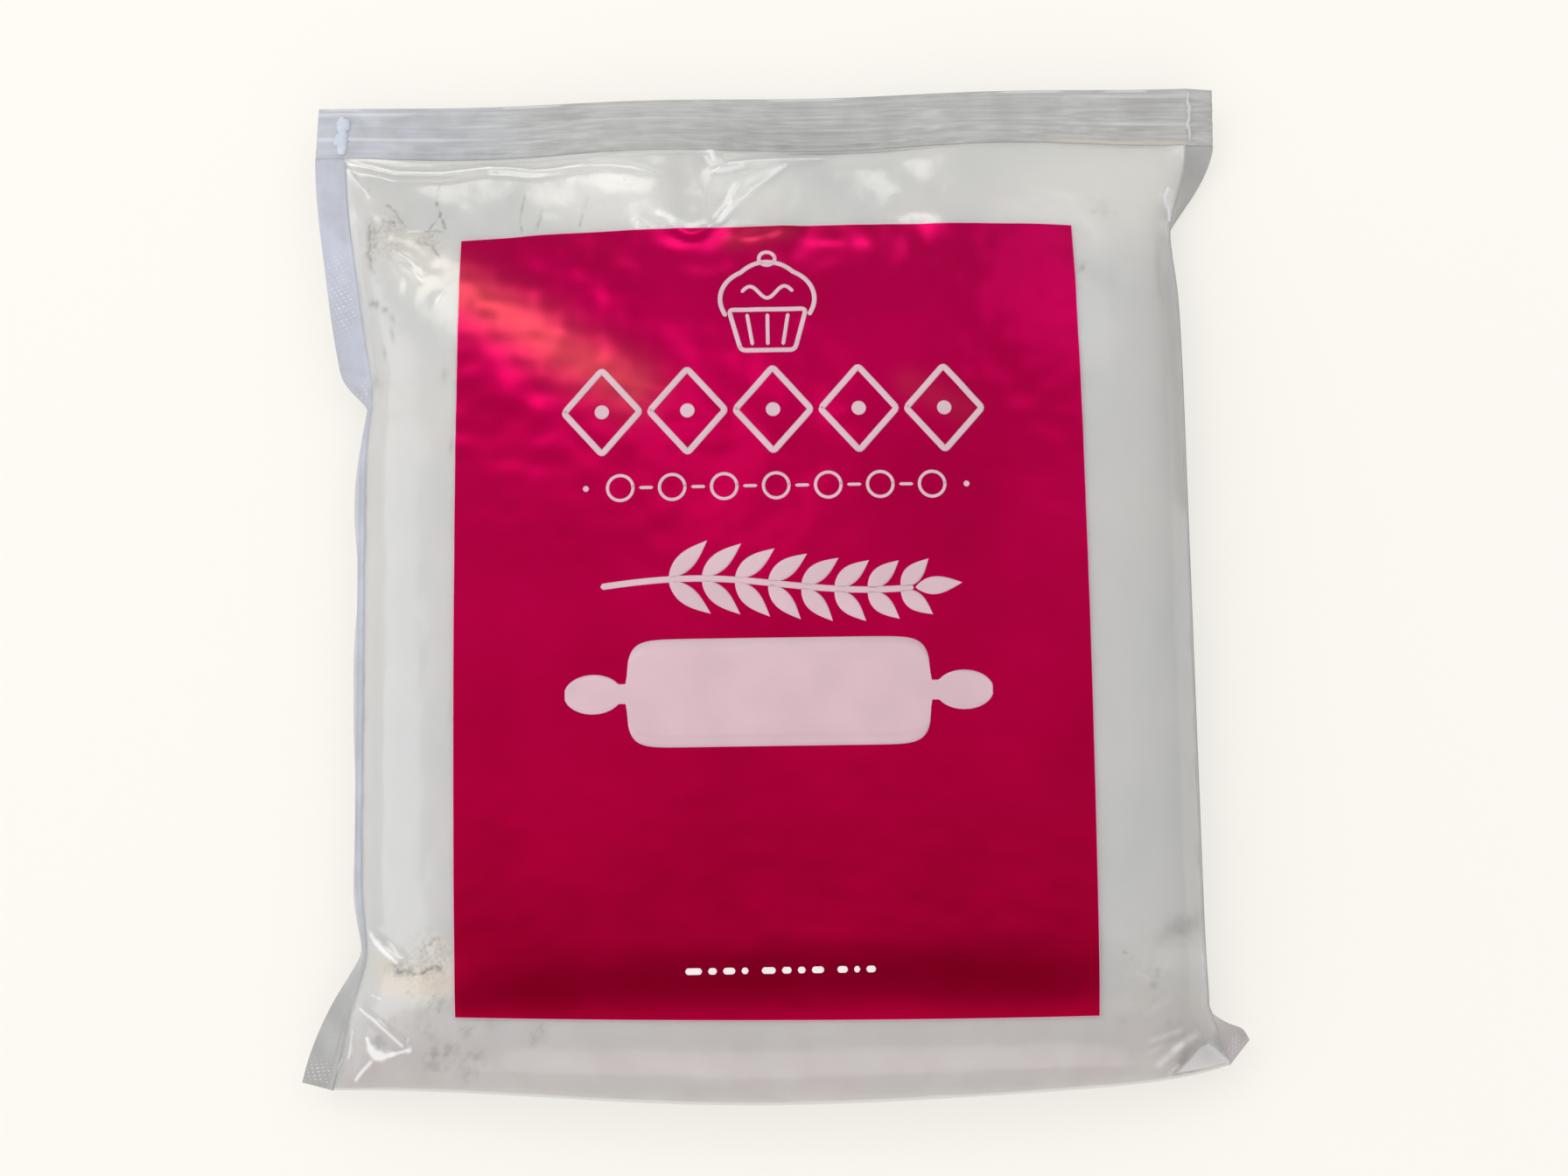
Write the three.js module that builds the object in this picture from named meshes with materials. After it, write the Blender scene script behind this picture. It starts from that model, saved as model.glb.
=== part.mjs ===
// A filled clear pouch of white powder with a rectangular sticker, lying on its back.
//
// Millimetres. +X is across the pouch, +Y runs towards its top seal and +Z is up, out of the
// sticker. The origin is the middle of the pouch on the surface that it lies on.
//
// Two pieces: "bag" is the film with the powder in it, and "label" is the sticker.
// The pouch is one folded sheet: a fold at the bottom end, a sealed fin down each long side and
// a ribbed seal band across the top. Its surface is a loft of rings, one for each station along Y.

import * as THREE from 'three';

// ---- driving sizes of the pouch ------------------------------------------------------------

const TOP_Y = 123.5;          // cut edge of the top seal band, at its highest
const FOLD_Y = -123.5;        // bottom fold, at its lowest
const BAND_HEIGHT = 14.0;     // seal band, measured along Y
const SEAL_Y = TOP_Y - BAND_HEIGHT;
const FIN_WIDTH = 7.2;        // sealed fin, from the powder's edge to the cut edge
const FIN_NECK = 1.2;         // part of the fin that stays level before the rest bends
const FILM = 0.9;             // thickness of the doubled film of the fins and the band

// ---- how the powder fills it ----------------------------------------------------------------

const CROWN = 32.5;           // height of the filled pouch at its thickest
const CROWN_Y = -40;          // where along Y it is thickest
const CROWN_FALL = 3.0;       // how much lower the top lies at the far end of the full part
const SEAM_Z = 12.5;          // height of the side seams half way along
const BELLY_DEPTH = 18.5;     // how far below the seams the film would hang on no floor
const FULL_TOP_Y = 42;        // the pouch starts to thin towards the top seal here
const FULL_FOLD_Y = -84;      // and starts to round off towards the bottom fold here
const SIDE_POWER = 2.7;       // squareness of a cross-section
const SIDE_ROUND = 1.9;
const SEAL_POWER = 2.4;       // how the thickness runs out into the top seal, as a wedge
const SEAL_ROUND = 0.8;
const FOLD_POWER = 2.3;       // how it rounds off into the bottom fold
const FOLD_ROUND = 1 / 2.3;

// ---- the edges as the full pouch holds them --------------------------------------------------

const FOLD_SEAM_Z = 11.5;     // height of the bottom fold in its middle
const FOLD_SAG = 3.0;         // its ends lie this much lower
const BAND_Z = 11.0;          // mean height of the band's lower line
const BAND_EDGE_Z = 9.0;      // height of the band's cut edge
const BAND_EDGE_TILT = 1.4;   // the cut edge rises towards +X by this on each half
const BAND_WAVE = 2.4;        // the gathered band ripples up and down by this
const BAND_WAVE_LENGTH = 0.83;
const BAND_WAVE_PEAK = -0.28;
const BAND_SKEW = 0.9;        // the cut edge also runs up towards +X by this on each half
const BAND_ROOT_DIP = 1.0;    // the band's lower line dips at both ends
const RIB_COUNT = 4;
const RIB_RELIEF = 0.35;

const PINCH_SPREAD = 11;      // each seam is drawn in where its fin turns under, over this length

// One entry for each long side. Widths are from the middle to the powder's edge. A fin hangs
// at the angle hang over the stretch between its two folds and lies level outside it. The
// bottom fold runs up towards this side by foldBow, and its corner by cornerRise more.
const LEFT = {
  sign: -1,
  waist: 98.6, sealHalf: 104.4, foldHalf: 105.4,
  hang: 78, topTwist: 0,
  topFold: [44, 55], bottomFold: [-86, -119],
  pinchTop: 48, pinchBottom: -88, pinch: 2.6,
  cornerTurn: 15, foldBow: 4.8, cornerRise: 0,
};
const RIGHT = {
  sign: 1,
  waist: 99.6, sealHalf: 104.6, foldHalf: 106.4,
  hang: 88, topTwist: 22,
  topFold: [86, 116], bottomFold: [-104, -122],
  pinchTop: 89, pinchBottom: -104, pinch: 0.9,
  cornerTurn: 50, foldBow: 3.2, cornerRise: 4.5,
};

// ---- the sticker ---------------------------------------------------------------------------

const LABEL_WIDTH = 149.4;
const LABEL_LENGTH = 188.6;
const LABEL_X = -0.2;
const LABEL_Y = -9.3;
const LABEL_BOW = 0.7;        // its edges bow out by this, as the full pouch stretches them
const LABEL_FAN = 0.9;        // it is this much longer at each end towards +X than in its middle
const LABEL_THICKNESS = 0.35;
const LABEL_GAP = 0.4;        // clear of the film, so that the two solids never touch

// ---- how finely the surfaces are cut --------------------------------------------------------

const ACROSS = 30;            // steps from one side to the other, on the top and on the bottom
const TOP_STEPS = 13;
const MIDDLE_STEPS = 15;
const FOLD_STEPS = 13;
const STEPS_PER_RIB = 4;
const LABEL_ACROSS = 24;
const LABEL_ALONG = 30;

// ---- small helpers --------------------------------------------------------------------------

const radians = THREE.MathUtils.degToRad;
const lerp = THREE.MathUtils.lerp;

// 0 at from, 1 at to, straight between them. from may be the larger one.
function ramp(from, to, value) {
  return THREE.MathUtils.clamp((value - from) / (to - from), 0, 1);
}

// The same, but smooth at both ends.
function ease(from, to, value) {
  const t = ramp(from, to, value);
  return t * t * (3 - 2 * t);
}

function bell(distance, spread) {
  return Math.exp(-((distance / spread) ** 2));
}

// ---- the pouch's form -----------------------------------------------------------------------

// Half the width of the filled part at station v, on one side.
function halfWidth(side, v) {
  const towardsSeal = ease(side.pinchTop, SEAL_Y, v);
  const towardsFold = ramp(side.pinchBottom, FOLD_Y, v);
  const nip = side.pinch * (bell(v - side.pinchTop, PINCH_SPREAD)
    + bell(v - side.pinchBottom, PINCH_SPREAD));
  return side.waist
    + (side.sealHalf - side.waist) * towardsSeal
    + (side.foldHalf - side.waist) * towardsFold
    - nip;
}

// The share of the full thickness at station v: 1 along the middle, 0 at the fold and the seal.
function fullness(v) {
  if (v >= FULL_TOP_Y) {
    const t = Math.min((v - FULL_TOP_Y) / (SEAL_Y - FULL_TOP_Y), 1);
    return (1 - t ** SEAL_POWER) ** SEAL_ROUND;
  }
  if (v <= FULL_FOLD_Y) {
    const t = Math.min((v - FULL_FOLD_Y) / (FOLD_Y - FULL_FOLD_Y), 1);
    return (1 - t ** FOLD_POWER) ** FOLD_ROUND;
  }
  return 1;
}

// The share of the full thickness at u, where u runs from -1 on the left to 1 on the right.
function across(u) {
  return Math.max(1 - Math.abs(u) ** SIDE_POWER, 0) ** (1 / SIDE_ROUND);
}

// Height of the crown line at station v.
function crown(v) {
  return CROWN - CROWN_FALL * ease(CROWN_Y, SEAL_Y, v);
}

// Height of the line where the upper and the lower film meet.
function seamHeight(u, v) {
  const ripple = BAND_WAVE * Math.cos(2 * Math.PI * (u - BAND_WAVE_PEAK) / BAND_WAVE_LENGTH);
  const bandRoot = BAND_Z - BAND_ROOT_DIP * u * u + ripple;
  const foldLine = FOLD_SEAM_Z - FOLD_SAG * u ** 4;
  if (v > SEAL_Y) {
    const edge = BAND_EDGE_Z + BAND_EDGE_TILT * u + 0.4 * ripple;
    return lerp(bandRoot, edge, (v - SEAL_Y) / BAND_HEIGHT);
  }
  const towardsSeal = ease(FULL_TOP_Y, SEAL_Y, v);
  const towardsFold = ease(FULL_FOLD_Y, FOLD_Y, v);
  return SEAM_Z + (bandRoot - SEAM_Z) * towardsSeal + (foldLine - SEAM_Z) * towardsFold;
}

// How far a point of station v lies from y = v: the fold is bowed and the band is askew.
function alongShift(u, v) {
  const side = u > 0 ? RIGHT : LEFT;
  const foldLine = side.foldBow * (1 - Math.cos(Math.PI * u)) / 2 + side.cornerRise * u ** 8;
  const bow = foldLine * ramp(FULL_FOLD_Y, FOLD_Y, v) ** 2;
  const skew = BAND_SKEW * (u - 1) * ease(FULL_TOP_Y, TOP_Y, v);
  return bow + skew;
}

// A point of the upper (face 1) or the lower (face -1) film.
function filmPoint(face, u, v) {
  const side = u > 0 ? RIGHT : LEFT;
  const seam = seamHeight(u, v);
  const share = across(u) * fullness(v);
  let rib = 0;
  if (v > SEAL_Y) {
    const turn = RIB_COUNT * (v - SEAL_Y) / BAND_HEIGHT;
    rib = RIB_RELIEF * 0.5 * (1 - Math.cos(2 * Math.PI * turn));
  }
  const skin = FILM / 2 + rib;
  const z = face > 0
    ? seam + skin + (crown(v) - seam - skin) * share
    : Math.max(seam - skin - BELLY_DEPTH * share, 0);
  return new THREE.Vector3(u * halfWidth(side, v), v + alongShift(u, v), z);
}

// The fin's four corners at station v: the bend and the cut edge, on its upper and lower face.
function finCorners(side, v) {
  const u = side.sign;
  const level = Math.max(ease(...side.topFold, v), ramp(...side.bottomFold, v));
  const twist = side.topTwist * ease(...side.topFold, v);
  const angle = radians(side.hang * (1 - level) + twist);
  const turn = radians(side.cornerTurn) * ease(side.bottomFold[0], FOLD_Y, v);
  const out = new THREE.Vector3(side.sign * Math.cos(turn), Math.sin(turn), 0);
  const down = new THREE.Vector3(0, 0, -1);
  const blade = out.clone().multiplyScalar(Math.cos(angle)).addScaledVector(down, Math.sin(angle));
  const face = out.clone().multiplyScalar(Math.sin(angle)).addScaledVector(down, -Math.cos(angle));
  const mitre = face.clone().sub(down).multiplyScalar(0.5 * FILM / (1 + Math.cos(angle)));
  const root = new THREE.Vector3(u * halfWidth(side, v), v + alongShift(u, v), seamHeight(u, v));
  const bend = root.clone().addScaledVector(out, FIN_NECK);
  const edge = bend.clone().addScaledVector(blade, FIN_WIDTH - FIN_NECK);
  const half = face.clone().multiplyScalar(FILM / 2);
  return {
    bendUpper: bend.clone().add(mitre),
    edgeUpper: edge.clone().add(half),
    edgeLower: edge.clone().sub(half),
    bendLower: bend.clone().sub(mitre),
  };
}

// ---- meshes ---------------------------------------------------------------------------------

function closedMesh(points, triangles, name, material) {
  const geometry = new THREE.BufferGeometry();
  geometry.setAttribute('position',
    new THREE.Float32BufferAttribute(points.flatMap((p) => [p.x, p.y, p.z]), 3));
  geometry.setIndex(triangles);
  geometry.computeVertexNormals();
  const mesh = new THREE.Mesh(geometry, material);
  mesh.name = name;
  return mesh;
}

// Two triangles for the four corners a, b, c, d, listed anticlockwise seen from outside.
function quad(a, b, c, d) {
  return [a, b, c, a, c, d];
}

// u at step i: closer together towards the sides, where the film turns down.
function stepAcross(i) {
  const angle = Math.PI * i / ACROSS;
  const c = Math.cos(angle);
  return Math.sign(c) * Math.abs(c) ** (2 / SIDE_POWER);
}

// One ring, seen from the fold's end: over the top to the left, round its fin, and back below.
function ring(v) {
  const steps = Array.from({ length: ACROSS + 1 }, (_, i) => stepAcross(i));
  const left = finCorners(LEFT, v);
  const right = finCorners(RIGHT, v);
  return [
    ...steps.map((u) => filmPoint(1, u, v)),
    left.bendUpper, left.edgeUpper, left.edgeLower, left.bendLower,
    ...steps.map((u) => filmPoint(-1, -u, v)),
    right.bendLower, right.edgeLower, right.edgeUpper, right.bendUpper,
  ];
}

// Stations from the fold to the cut edge, closer together where the pouch rounds off.
function stations() {
  const list = [];
  for (let i = 0; i < FOLD_STEPS; i += 1) {
    const t = Math.cos(Math.PI / 2 * i / FOLD_STEPS);
    list.push(lerp(FULL_FOLD_Y, FOLD_Y, t));
  }
  for (let i = 0; i < MIDDLE_STEPS; i += 1) {
    list.push(lerp(FULL_FOLD_Y, FULL_TOP_Y, i / MIDDLE_STEPS));
  }
  for (let i = 0; i < TOP_STEPS; i += 1) {
    list.push(lerp(FULL_TOP_Y, SEAL_Y, i / TOP_STEPS));
  }
  const bandSteps = RIB_COUNT * STEPS_PER_RIB;
  for (let i = 0; i <= bandSteps; i += 1) {
    list.push(lerp(SEAL_Y, TOP_Y, i / bandSteps));
  }
  return list;
}

// The end of the loft whose ring starts at index start: each point of the upper film is joined
// to the one under it.
function endCap(start, size, facesFold) {
  const list = [];
  const upper = [size - 2, size - 1, ...Array(ACROSS + 3).keys()];
  const lower = upper.map((i) => (2 * ACROSS + 5 - i + size) % size);
  for (let i = 0; i + 1 < upper.length; i += 1) {
    const corners = [upper[i], upper[i + 1], lower[i + 1], lower[i]].map((k) => start + k);
    list.push(...quad(...(facesFold ? corners : corners.reverse())));
  }
  return list;
}

function makeBag(material) {
  const rings = stations().map(ring);
  const size = rings[0].length;
  const triangles = [];
  for (let j = 0; j + 1 < rings.length; j += 1) {
    for (let i = 0; i < size; i += 1) {
      const next = (i + 1) % size;
      const corners = [j * size + i, (j + 1) * size + i, (j + 1) * size + next, j * size + next];
      triangles.push(...quad(...corners));
    }
  }
  triangles.push(...endCap(0, size, true));
  triangles.push(...endCap((rings.length - 1) * size, size, false));
  return closedMesh(rings.flat(), triangles, 'bag', material);
}

// The point at height lift above the upper film, at x and y.
function aboveFilm(x, y, lift) {
  const side = x > 0 ? RIGHT : LEFT;
  let v = y;
  for (let i = 0; i < 4; i += 1) v = y - alongShift(x / halfWidth(side, v), v);
  const point = (du, dv) => filmPoint(1, x / halfWidth(side, v) + du, v + dv);
  const step = 0.002;
  const alongX = point(step, 0).sub(point(-step, 0));
  const alongY = point(0, step * LABEL_WIDTH).sub(point(0, -step * LABEL_WIDTH));
  const normal = alongX.cross(alongY).normalize();
  return point(0, 0).addScaledVector(normal, lift);
}

function makeLabel(material) {
  const columns = LABEL_ACROSS + 1;
  const rows = LABEL_ALONG + 1;
  const sheet = (lift) => {
    const points = [];
    for (let j = 0; j < rows; j += 1) {
      for (let i = 0; i < columns; i += 1) {
        const s = 2 * i / LABEL_ACROSS - 1;
        const t = 2 * j / LABEL_ALONG - 1;
        const x = LABEL_X + s * (LABEL_WIDTH / 2 - LABEL_BOW * t * t);
        const y = LABEL_Y + t * (LABEL_LENGTH / 2 - LABEL_BOW * s * s + LABEL_FAN * s);
        points.push(aboveFilm(x, y, lift));
      }
    }
    return points;
  };
  const under = sheet(LABEL_GAP);
  const over = sheet(LABEL_GAP + LABEL_THICKNESS);
  const at = (i, j) => j * columns + i;
  const triangles = [];
  for (let j = 0; j < LABEL_ALONG; j += 1) {
    for (let i = 0; i < LABEL_ACROSS; i += 1) {
      const corners = [at(i, j), at(i + 1, j), at(i + 1, j + 1), at(i, j + 1)];
      const [a, b, c, d] = corners;
      triangles.push(a, c, b, a, d, c);
      triangles.push(...quad(...corners.map((k) => k + under.length)));
    }
  }
  const rim = [];
  for (let i = 0; i < LABEL_ACROSS; i += 1) rim.push(at(i, 0));
  for (let j = 0; j < LABEL_ALONG; j += 1) rim.push(at(LABEL_ACROSS, j));
  for (let i = LABEL_ACROSS; i > 0; i -= 1) rim.push(at(i, LABEL_ALONG));
  for (let j = LABEL_ALONG; j > 0; j -= 1) rim.push(at(0, j));
  rim.forEach((k, index) => {
    const next = rim[(index + 1) % rim.length];
    triangles.push(...quad(k, next, next + under.length, k + under.length));
  });
  return closedMesh([...under, ...over], triangles, 'label', material);
}

// ---- the model ------------------------------------------------------------------------------

const film = new THREE.MeshStandardMaterial({ color: 0xd8d8d5, roughness: 0.25, metalness: 0 });
const sticker = new THREE.MeshStandardMaterial({ color: 0xb3003f, roughness: 0.3, metalness: 0 });

const pouch = new THREE.Group();
pouch.add(makeBag(film), makeLabel(sticker));

export default pouch;
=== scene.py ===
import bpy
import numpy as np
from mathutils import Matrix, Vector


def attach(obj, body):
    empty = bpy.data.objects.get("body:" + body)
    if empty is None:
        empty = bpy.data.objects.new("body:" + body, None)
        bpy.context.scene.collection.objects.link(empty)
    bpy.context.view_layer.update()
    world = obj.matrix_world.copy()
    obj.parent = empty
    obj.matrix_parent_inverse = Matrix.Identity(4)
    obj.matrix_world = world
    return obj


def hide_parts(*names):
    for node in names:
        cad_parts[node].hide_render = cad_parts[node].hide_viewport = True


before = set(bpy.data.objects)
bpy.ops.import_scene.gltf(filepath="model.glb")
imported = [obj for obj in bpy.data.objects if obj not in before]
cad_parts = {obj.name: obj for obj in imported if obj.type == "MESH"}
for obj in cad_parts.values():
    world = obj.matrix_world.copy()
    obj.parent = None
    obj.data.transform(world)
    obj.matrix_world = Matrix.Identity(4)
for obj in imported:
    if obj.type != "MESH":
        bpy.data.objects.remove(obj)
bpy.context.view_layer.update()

# A filled clear pouch of white powder with a glossy sticker, lying on its back.
#
# The CAD frame is in metres. The shapes below are worked out in millimetres, with the formulas
# of the part's source, and turned to metres when a mesh is made. The values are its own too,
# but for a few of the side edges, which follow the photograph a little more closely.
# u runs across the pouch from -1 at its left seam to 1 at its right one, and v along it from
# the bottom fold to the top seal. x, y and z are the frame's own axes.

MM = 0.001
SEED = 20
rng = np.random.default_rng(SEED)

# ---- the pouch, as in the CAD source ---------------------------------------------------------

TOP_Y = 123.5                   # cut edge of the seal band
FOLD_Y = -123.5                 # bottom fold
BAND_HEIGHT = 14.0
SEAL_Y = TOP_Y - BAND_HEIGHT
FIN_WIDTH = 7.2
FILM = 0.9                      # thickness that the CAD gives the doubled film
CROWN = 32.5
CROWN_Y = -40.0
CROWN_FALL = 3.0
SEAM_Z = 12.5
BELLY_DEPTH = 18.5
FULL_TOP_Y = 42.0
FULL_FOLD_Y = -84.0
SIDE_POWER = 2.7
SIDE_ROUND = 1.9
SEAM_EASE = 0.018
SEAL_POWER = 2.4
SEAL_ROUND = 0.8
FOLD_POWER = 2.3
FOLD_SEAM_Z = 11.5
FOLD_SAG = 3.0
BAND_Z = 11.0
BAND_EDGE_Z = 9.0
BAND_EDGE_TILT = 1.4
BAND_WAVE = 2.4
BAND_WAVE_LENGTH = 0.83
BAND_WAVE_PEAK = -0.28
BAND_SKEW = 0.9
BAND_ROOT_DIP = 1.0
PINCH_SPREAD = 11.0

# One entry for each long side, in mm and degrees. Widths are from the middle to the powder's
# edge, and the seam is drawn in by pinch and low_pinch where the fin folds. The fin leaves the
# seam level for the width of its neck. It is turned down by hang between its two folds, and
# lies level outside them. straight is the share of the upper fold that is a straight ramp and
# not an eased one, and weld is how high the film swells along the fin's root.
LEFT = dict(
    sign=-1, waist=98.6, seal_half=104.4, fold_half=105.4,
    pinch_top=48, pinch=1.5, pinch_bottom=-88, low_pinch=1.5,
    hang=78, top_twist=0, top_fold=(44, 55), bottom_fold=(-86, -119), straight=0.0,
    corner_turn=15, fold_bow=4.8, corner_rise=0.0,
    neck=1.2, neck_at_pinch=0.1, weld=0.55,
)
RIGHT = dict(
    sign=1, waist=100.6, seal_half=104.6, fold_half=106.4,
    pinch_top=85.6, pinch=1.2, pinch_bottom=-104, low_pinch=-0.7,
    hang=93, top_twist=12, top_fold=(85, 109), bottom_fold=(-104, -122), straight=1.0,
    corner_turn=50, fold_bow=3.2, corner_rise=4.5,
    neck=0.15, neck_at_pinch=0.15, weld=0.1,
)

LABEL_WIDTH = 149.4
LABEL_LENGTH = 188.6
LABEL_X = -0.2
LABEL_Y = -9.3
LABEL_BOW = 0.7
LABEL_FAN = 0.9

# ---- what only the visible pieces have -------------------------------------------------------

WALL = 0.30                     # doubled film of the fins and the band
NECK_EASE = 9.0                 # a fin's neck shrinks over this length where the seam is nipped
POWDER_INSET = 0.35             # the powder's skin, below the outside of the film
LABEL_LIFT = 0.12               # underside of the sticker, above the film
LABEL_WALL = 0.22
PRINT_LIFT = 0.05               # top of the ink, above the sticker
LABEL_HAIR = 0.14               # width of the bare cut edge round the sticker's print
RIB_RELIEF = 0.16
RIB_COUNT = 4
CRACK_STEP = 0.6                # length of one straight bit of a ragged crack
SKIPPED = 8                     # the undersides of powder and film have every eighth column
POWDER_GAP = 0.5                # the powder starts this far above the fold
POWDER_ROUND = 1.6              # its end is rounded off over this length
POWDER_LIP = 0.02               # share of the thickness that is left at its very end
SEAM_HAZE_AND_LIGHT = 0.5                 # milkiness of the film right at a side seam, partly painted light over the shade there
SEAM_HAZE_FALL = 0.012          # and the share of u over which it falls off
PRINT_ROOT = 0.1                # the ink starts this far inside the sticker
TUBE_FLATNESS = 0.42            # height of a bead over its width
PRINT_LINE = 1.5                # width of most printed lines


# ---- helpers on whole arrays -----------------------------------------------------------------

def ramp(start, end, value):
    """0 at start, 1 at end, straight between them."""
    return np.clip((value - start) / (end - start), 0.0, 1.0)


def ease(start, end, value):
    """The same with smooth ends: t * t * (3 - 2t)."""
    t = ramp(start, end, value)
    return t * t * (3.0 - 2.0 * t)


def bell(distance, spread):
    """exp(-(distance / spread) squared)."""
    return np.exp(-(distance / spread) ** 2)


def by_side(u, key):
    """The value that one side of the pouch has, for each u."""
    return np.where(u > 0, RIGHT[key], LEFT[key])


def unevenness(x, y, length, seed, waves=14):
    """A smooth random field, about -2 to 2: a sum of plane waves around one wavelength. Each
    seed gives one field, the same in every run."""
    own = np.random.default_rng(seed)
    angle = own.uniform(0, 2 * np.pi, waves)
    number = 2 * np.pi / (length * own.uniform(0.7, 1.4, waves))
    phase = own.uniform(0, 2 * np.pi, waves)
    total = np.zeros(np.shape(x))
    for k in range(waves):
        total = total + np.cos(number[k] * (np.cos(angle[k]) * x + np.sin(angle[k]) * y) + phase[k])
    return total / np.sqrt(waves / 2)


def along_path(path, x, y):
    """For each point, its distance from a line of points and its share of the way along it.

    Each segment gives the nearest point a + t(b - a) with t held between 0 and 1, and the
    nearest segment wins.
    """
    path = np.asarray(path, float)
    steps = np.hypot(*np.diff(path, axis=0).T)
    before = np.concatenate([[0.0], np.cumsum(steps)])
    best = np.full(np.shape(x), np.inf)
    share = np.zeros(np.shape(x))
    for k, (a, b) in enumerate(zip(path[:-1], path[1:])):
        run = b - a
        t = np.clip(((x - a[0]) * run[0] + (y - a[1]) * run[1]) / (run @ run), 0, 1)
        gap = np.hypot(x - a[0] - t * run[0], y - a[1] - t * run[1])
        nearer = gap < best
        best = np.where(nearer, gap, best)
        share = np.where(nearer, (before[k] + t * steps[k]) / before[-1], share)
    return best, share


def resampled(path, step=0.35, least=4):
    """The same line of points with one each step, and at least so many of them."""
    path = np.asarray(path, float)
    run = np.concatenate([[0.0], np.cumsum(np.hypot(*np.diff(path, axis=0).T))])
    at = np.linspace(0, run[-1], max(int(run[-1] / step), least))
    return np.stack([np.interp(at, run, path[:, 0]), np.interp(at, run, path[:, 1])], 1)


def ragged(path, jitter):
    """A crack's line: a point each step, each one but the ends moved at random by up to jitter."""
    line = resampled(path, CRACK_STEP, 2)
    line[1:-1] += rng.uniform(-jitter, jitter, line[1:-1].shape)
    return line


def spaced(coordinate, height, knots, gaps):
    """Stations along a profile, as far apart along its arc as the gaps at the knots say."""
    arc = np.hypot(np.diff(coordinate), np.diff(height))
    middle = 0.5 * (coordinate[1:] + coordinate[:-1])
    count = np.concatenate([[0.0], np.cumsum(arc / np.interp(middle, knots, gaps))])
    wanted = np.linspace(0, count[-1], int(round(count[-1])) + 1)
    return np.interp(wanted, count, coordinate)


# ---- the pouch's form ------------------------------------------------------------------------

def half_width(u, v):
    """Half the filled width: the waist, widening towards both ends, nipped where a fin folds."""
    seal = ease(by_side(u, "pinch_top"), SEAL_Y, v)
    fold = ramp(by_side(u, "pinch_bottom"), FOLD_Y, v)
    nip = (
        by_side(u, "pinch") * bell(v - by_side(u, "pinch_top"), PINCH_SPREAD)
        + by_side(u, "low_pinch") * bell(v - by_side(u, "pinch_bottom"), PINCH_SPREAD)
    )
    waist = by_side(u, "waist")
    return (
        waist
        + (by_side(u, "seal_half") - waist) * seal
        + (by_side(u, "fold_half") - waist) * fold
        - nip
    )


def fullness(v):
    """Share of the full thickness: 1, and (1 - t^a)^b towards the seal and towards the fold."""
    top = ramp(FULL_TOP_Y, SEAL_Y, v)
    fold = ramp(FULL_FOLD_Y, FOLD_Y, v)
    return (1 - top ** SEAL_POWER) ** SEAL_ROUND * (1 - fold ** FOLD_POWER) ** (1 / FOLD_POWER)


def across(u):
    """Share of the full thickness across the pouch: (1 - |u|^a)^(1/b), eased off at the seams
    by 1 - exp(-(1 - |u|) / c), so that the film leaves them at a slant."""
    full = np.clip(1 - np.abs(u) ** SIDE_POWER, 0, None) ** (1 / SIDE_ROUND)
    return full * (1 - np.exp(-(1 - np.abs(u)) / SEAM_EASE))


def crown(v):
    """Height of the crown line."""
    return CROWN - CROWN_FALL * ease(CROWN_Y, SEAL_Y, v)


def seam_height(u, v):
    """Height of the line where upper and lower film meet, rippled in the gathered band."""
    ripple = BAND_WAVE * np.cos(2 * np.pi * (u - BAND_WAVE_PEAK) / BAND_WAVE_LENGTH)
    root = BAND_Z - BAND_ROOT_DIP * u * u + ripple
    edge = BAND_EDGE_Z + BAND_EDGE_TILT * u + 0.4 * ripple
    fold = FOLD_SEAM_Z - FOLD_SAG * u ** 4
    body = (
        SEAM_Z
        + (root - SEAM_Z) * ease(FULL_TOP_Y, SEAL_Y, v)
        + (fold - SEAM_Z) * ease(FULL_FOLD_Y, FOLD_Y, v)
    )
    band = root + (edge - root) * np.clip((v - SEAL_Y) / BAND_HEIGHT, 0, None)
    return np.where(v > SEAL_Y, band, body)


def along_shift(u, v):
    """How far a point lies from y = v: the fold is bowed and the band is askew."""
    line = by_side(u, "fold_bow") * (1 - np.cos(np.pi * u)) / 2 + by_side(u, "corner_rise") * u ** 8
    bow = line * ramp(FULL_FOLD_Y, FOLD_Y, v) ** 2
    return bow + BAND_SKEW * (u - 1) * ease(FULL_TOP_Y, TOP_Y, v)


def film_points(face, u, v):
    """Points of the upper (face 1) or the lower (face -1) film, without its creases."""
    seam = seam_height(u, v)
    share = across(u) * fullness(v)
    skin = FILM / 2
    if face > 0:
        z = seam + skin + (crown(v) - seam - skin) * share
    else:
        z = np.maximum(seam - skin - BELLY_DEPTH * share, 0)
    return np.stack([u * half_width(u, v), v + along_shift(u, v), z], -1)


def normals(points):
    """Unit normals of a grid of points: along the columns crossed with along the rows."""
    facing = np.cross(np.gradient(points, axis=1), np.gradient(points, axis=0))
    size = np.linalg.norm(facing, axis=-1, keepdims=True)
    return facing / np.maximum(size, 1e-9)


def over_film(x, y, lift):
    """The point at height lift over the creased upper film, above x and y.

    u and v belong to x and y once v + along_shift(u, v) is y, which four rounds settle. The
    normal is the slope across, over 2 steps of u, crossed with the slope along, over 0.6 mm.
    """
    v = np.array(y, float)
    for _ in range(4):
        u = x / half_width(np.sign(x), v)
        v = y - along_shift(u, v)
    u = x / half_width(np.sign(x), v)
    step = 0.002
    side = film_points(1, u + step, v) - film_points(1, u - step, v)
    run = film_points(1, u, v + 0.3) - film_points(1, u, v - 0.3)
    facing = np.cross(side, run)
    facing /= np.linalg.norm(facing, axis=-1, keepdims=True)
    rise = lift + film_relief(x, y)
    return film_points(1, u, v) + facing * rise[..., None]


# ---- creases of the film ---------------------------------------------------------------------

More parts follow.
